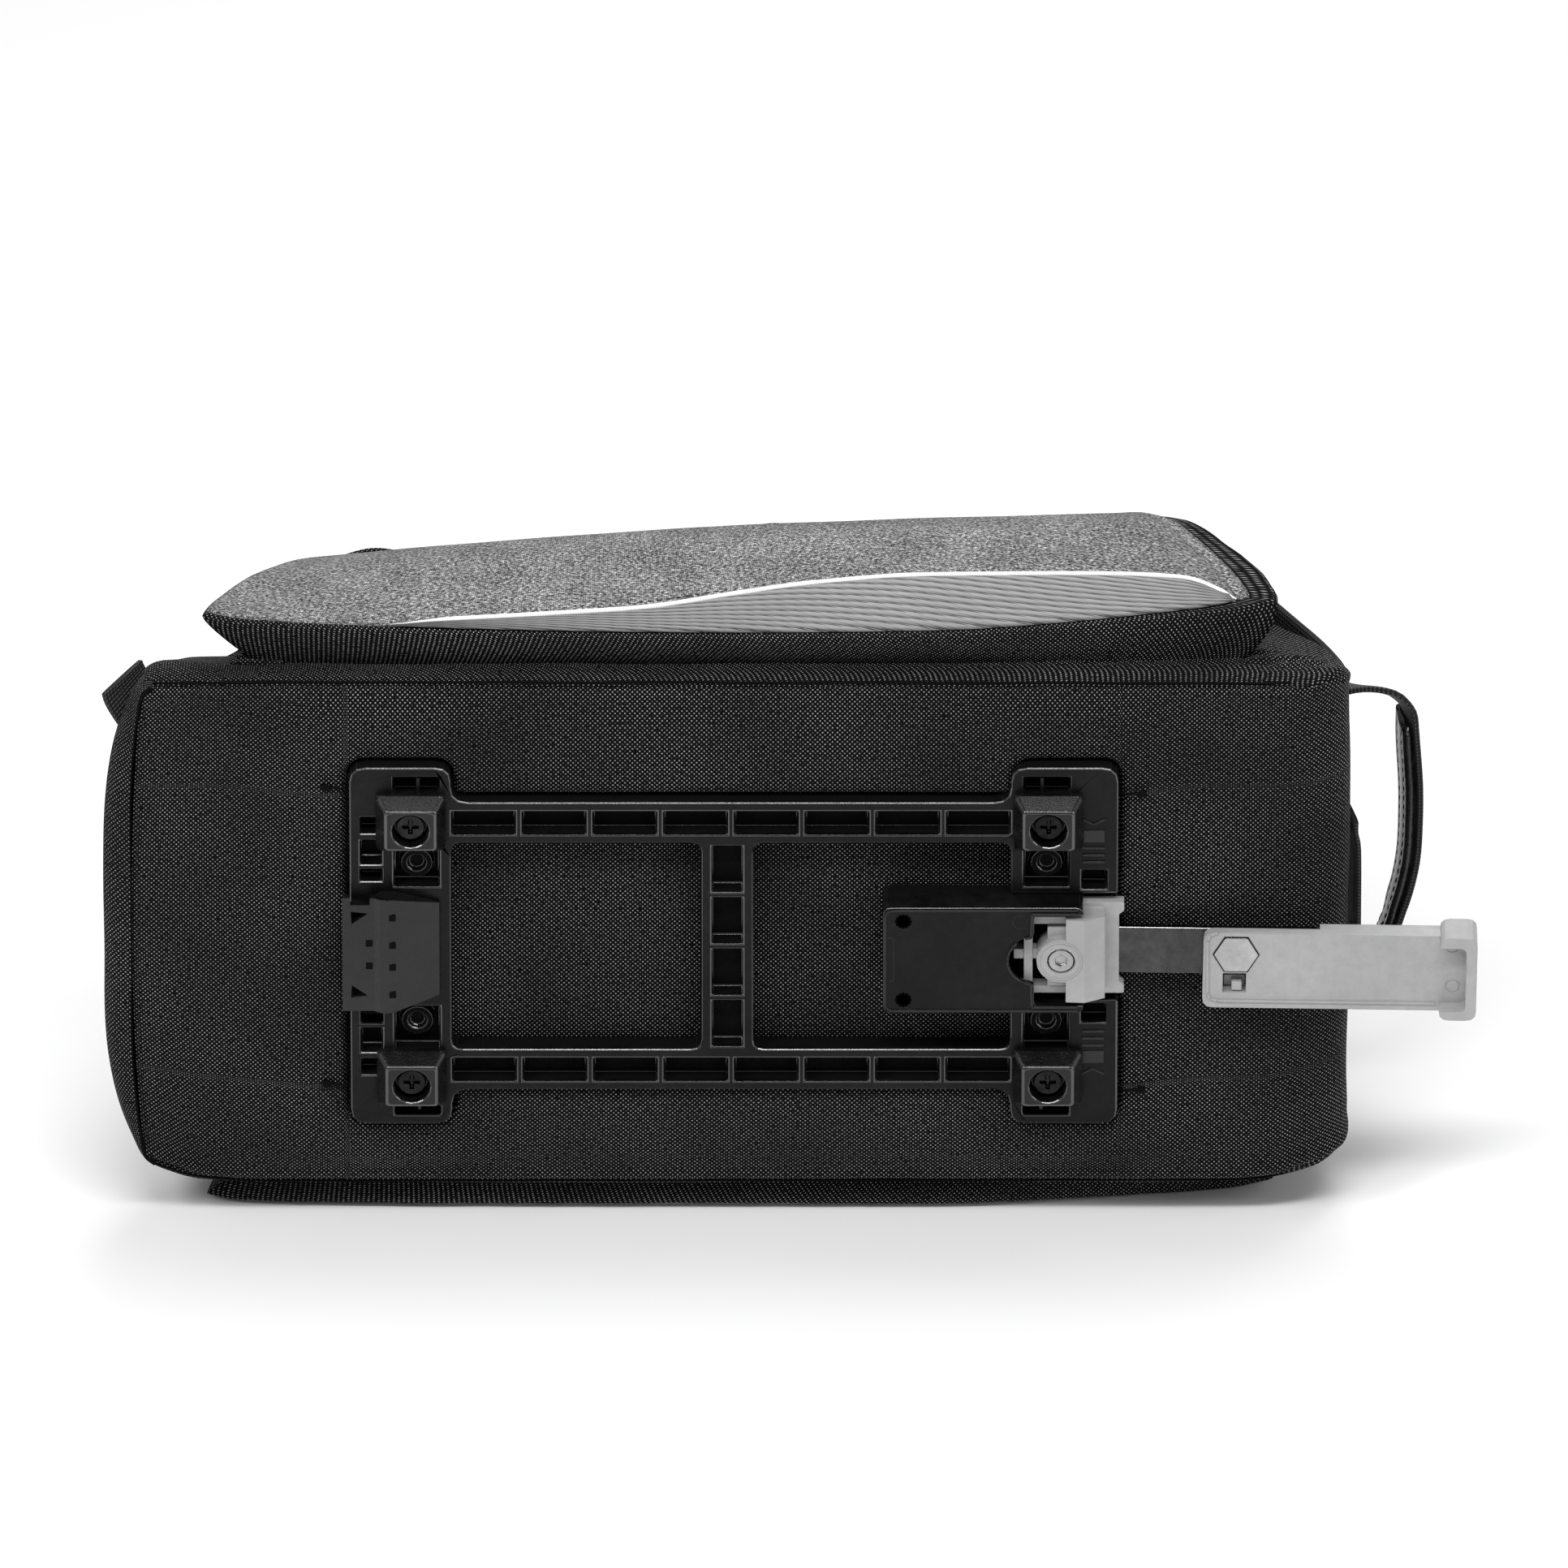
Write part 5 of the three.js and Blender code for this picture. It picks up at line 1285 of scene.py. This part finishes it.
# %% Relief of the hard parts
def front_of(node):
    """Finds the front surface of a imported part, in bag millimetres."""
    part = nodes[node]
    spots = [part.matrix_world @ v.co for v in part.data.vertices]
    faces = BVHTree.FromPolygons(spots, [tuple(p.vertices) for p in part.data.polygons])

    def look(x, z):
        hit = faces.ray_cast(on_bag(x, -60, z), Vector((0, 1, 0)))[0]
        return None if hit is None else (hit.y - bag_origin.y) * 1000
    return look


def relief(name, node, strokes, material, body="bag"):
    """Raised bars along strokes of (places, width, rise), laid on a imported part."""
    look = front_of(node)
    sunk = 0.2
    mesh = bmesh.new()
    for places, width, rise in strokes:
        for (x0, z0), (x1, z1) in zip(places, places[1:]):
            middle_x, middle_z = (x0 + x1) / 2, (z0 + z1) / 2
            y = look(middle_x, middle_z)
            if y is None:
                continue
            size = (math.hypot(x1 - x0, z1 - z0) + width * 0.5, rise + sunk, width)
            turn_to = Matrix.Rotation(-math.atan2(z1 - z0, x1 - x0), 4, "Y")
            spot = on_bag(middle_x, y - (rise - sunk) / 2, middle_z)
            bmesh.ops.create_cube(mesh, size=1, matrix=Matrix.Translation(spot) @ turn_to @ Matrix.Diagonal(
                (*[side / 1000 for side in size], 1)))
    bmesh.ops.bevel(mesh, geom=mesh.edges[:], offset=0.00014, segments=2, profile=0.5, affect="EDGES",
                    material=-1)
    as_piece(name, mesh, material, body, smooth=False)


def ring(x, z, radius, turn_from=0, turn_to=360, steps=20):
    """Places on a circle or part of it."""
    turns = [math.radians(mix(turn_from, turn_to, i / steps)) for i in range(steps + 1)]
    return [(x + radius * math.cos(t), z + radius * math.sin(t)) for t in turns]


plate_marks = []
for up in (1, -1):
    plate_marks.append(([(105, up * 43.6), (108.3, up * 41.8), (111.6, up * 43.6)], 0.7, 0.35))
    plate_marks.append(([(106.2, up * 37.8), (110.6, up * 37.8)], 4.2, 0.3))
    for z in (33.8, 31.4, 29.0):
        plate_marks.append(([(105.2, up * z), (111.5, up * z)], 0.8, 0.4))
    plate_marks.append(([(101.2, up * 50.4), (101.2, up * 60.2)], 0.4, 0.2))
    for x in (-91.4, 93.1):
        plate_marks.append(([(x, up * 51.2), (x, up * 56.6)], 1.1, 4.2))
relief("plate_marks", "adapter_plate", plate_marks, hook_plastic)
mouth = [(103.6, 15.9), (90.2, 15.9)] + ring(91, 0, 8.1, 98, 262, 14) + [(90.2, -15.9), (103.6, -15.9)]
border = [(103.6, 17.2), *ring(49.2, 14.6, 2.5, 90, 180, 5), *ring(49.2, -14.6, 2.5, 180, 270, 5),
          (103.6, -17.2)]
relief("housing_marks", "slider_housing", [
    (border, 0.7, 0.35), (mouth, 0.8, 0.5), (ring(86.6, 13.2, 2.2), 0.3, 0.15),
    ([(46.9, 7.8), (49.2, 7.8), (49.2, -7), (46.9, -7)], 0.3, 0.15)], hook_plastic)
# Painted shade of the housing's two pits: near-black discs on its front.
relief("housing_pit_shade", "slider_housing", [(ring(52.1, z, 1.2, steps=12), 2.6, 0.05) for z in (13.4, -13.4)],
       pit_shade_and_black_cord)
# Painted shade of the hook's pits: near-black squares on its front.
hook_pit_places = [(-99.1, 13.3), (-99.1, 3.9), (-99.1, -3.6), (-99.1, -13), (-106, 3.9), (-106, -3.8)]
relief("hook_pit_shade", "rack_hook", [([(x - 0.5, z), (x + 0.5, z)], 2.1, 0.3) for x, z in hook_pit_places],
       pit_shade_and_black_cord)
relief("jaw_marks", "clamp_jaw", [(ring(98.6, 0.1, 6.3, steps=24), 0.6, 0.25)], grey_plastic,
       "clamp")
lever_rim = [(209.5, 5.3), (145, 6.3), (143, 5.6), (142.2, 3.8), (142.2, -14.2), (143, -16), (145, -16.8),
             (209.5, -17.8)]
relief("lever_marks", "pull_handle", [(lever_rim, 0.8, 0.45)] + [
    (ring(214.6, z, 2.0), 0.35, 0.2) for z in (1.6, -11.6)], grey_plastic, "clamp")
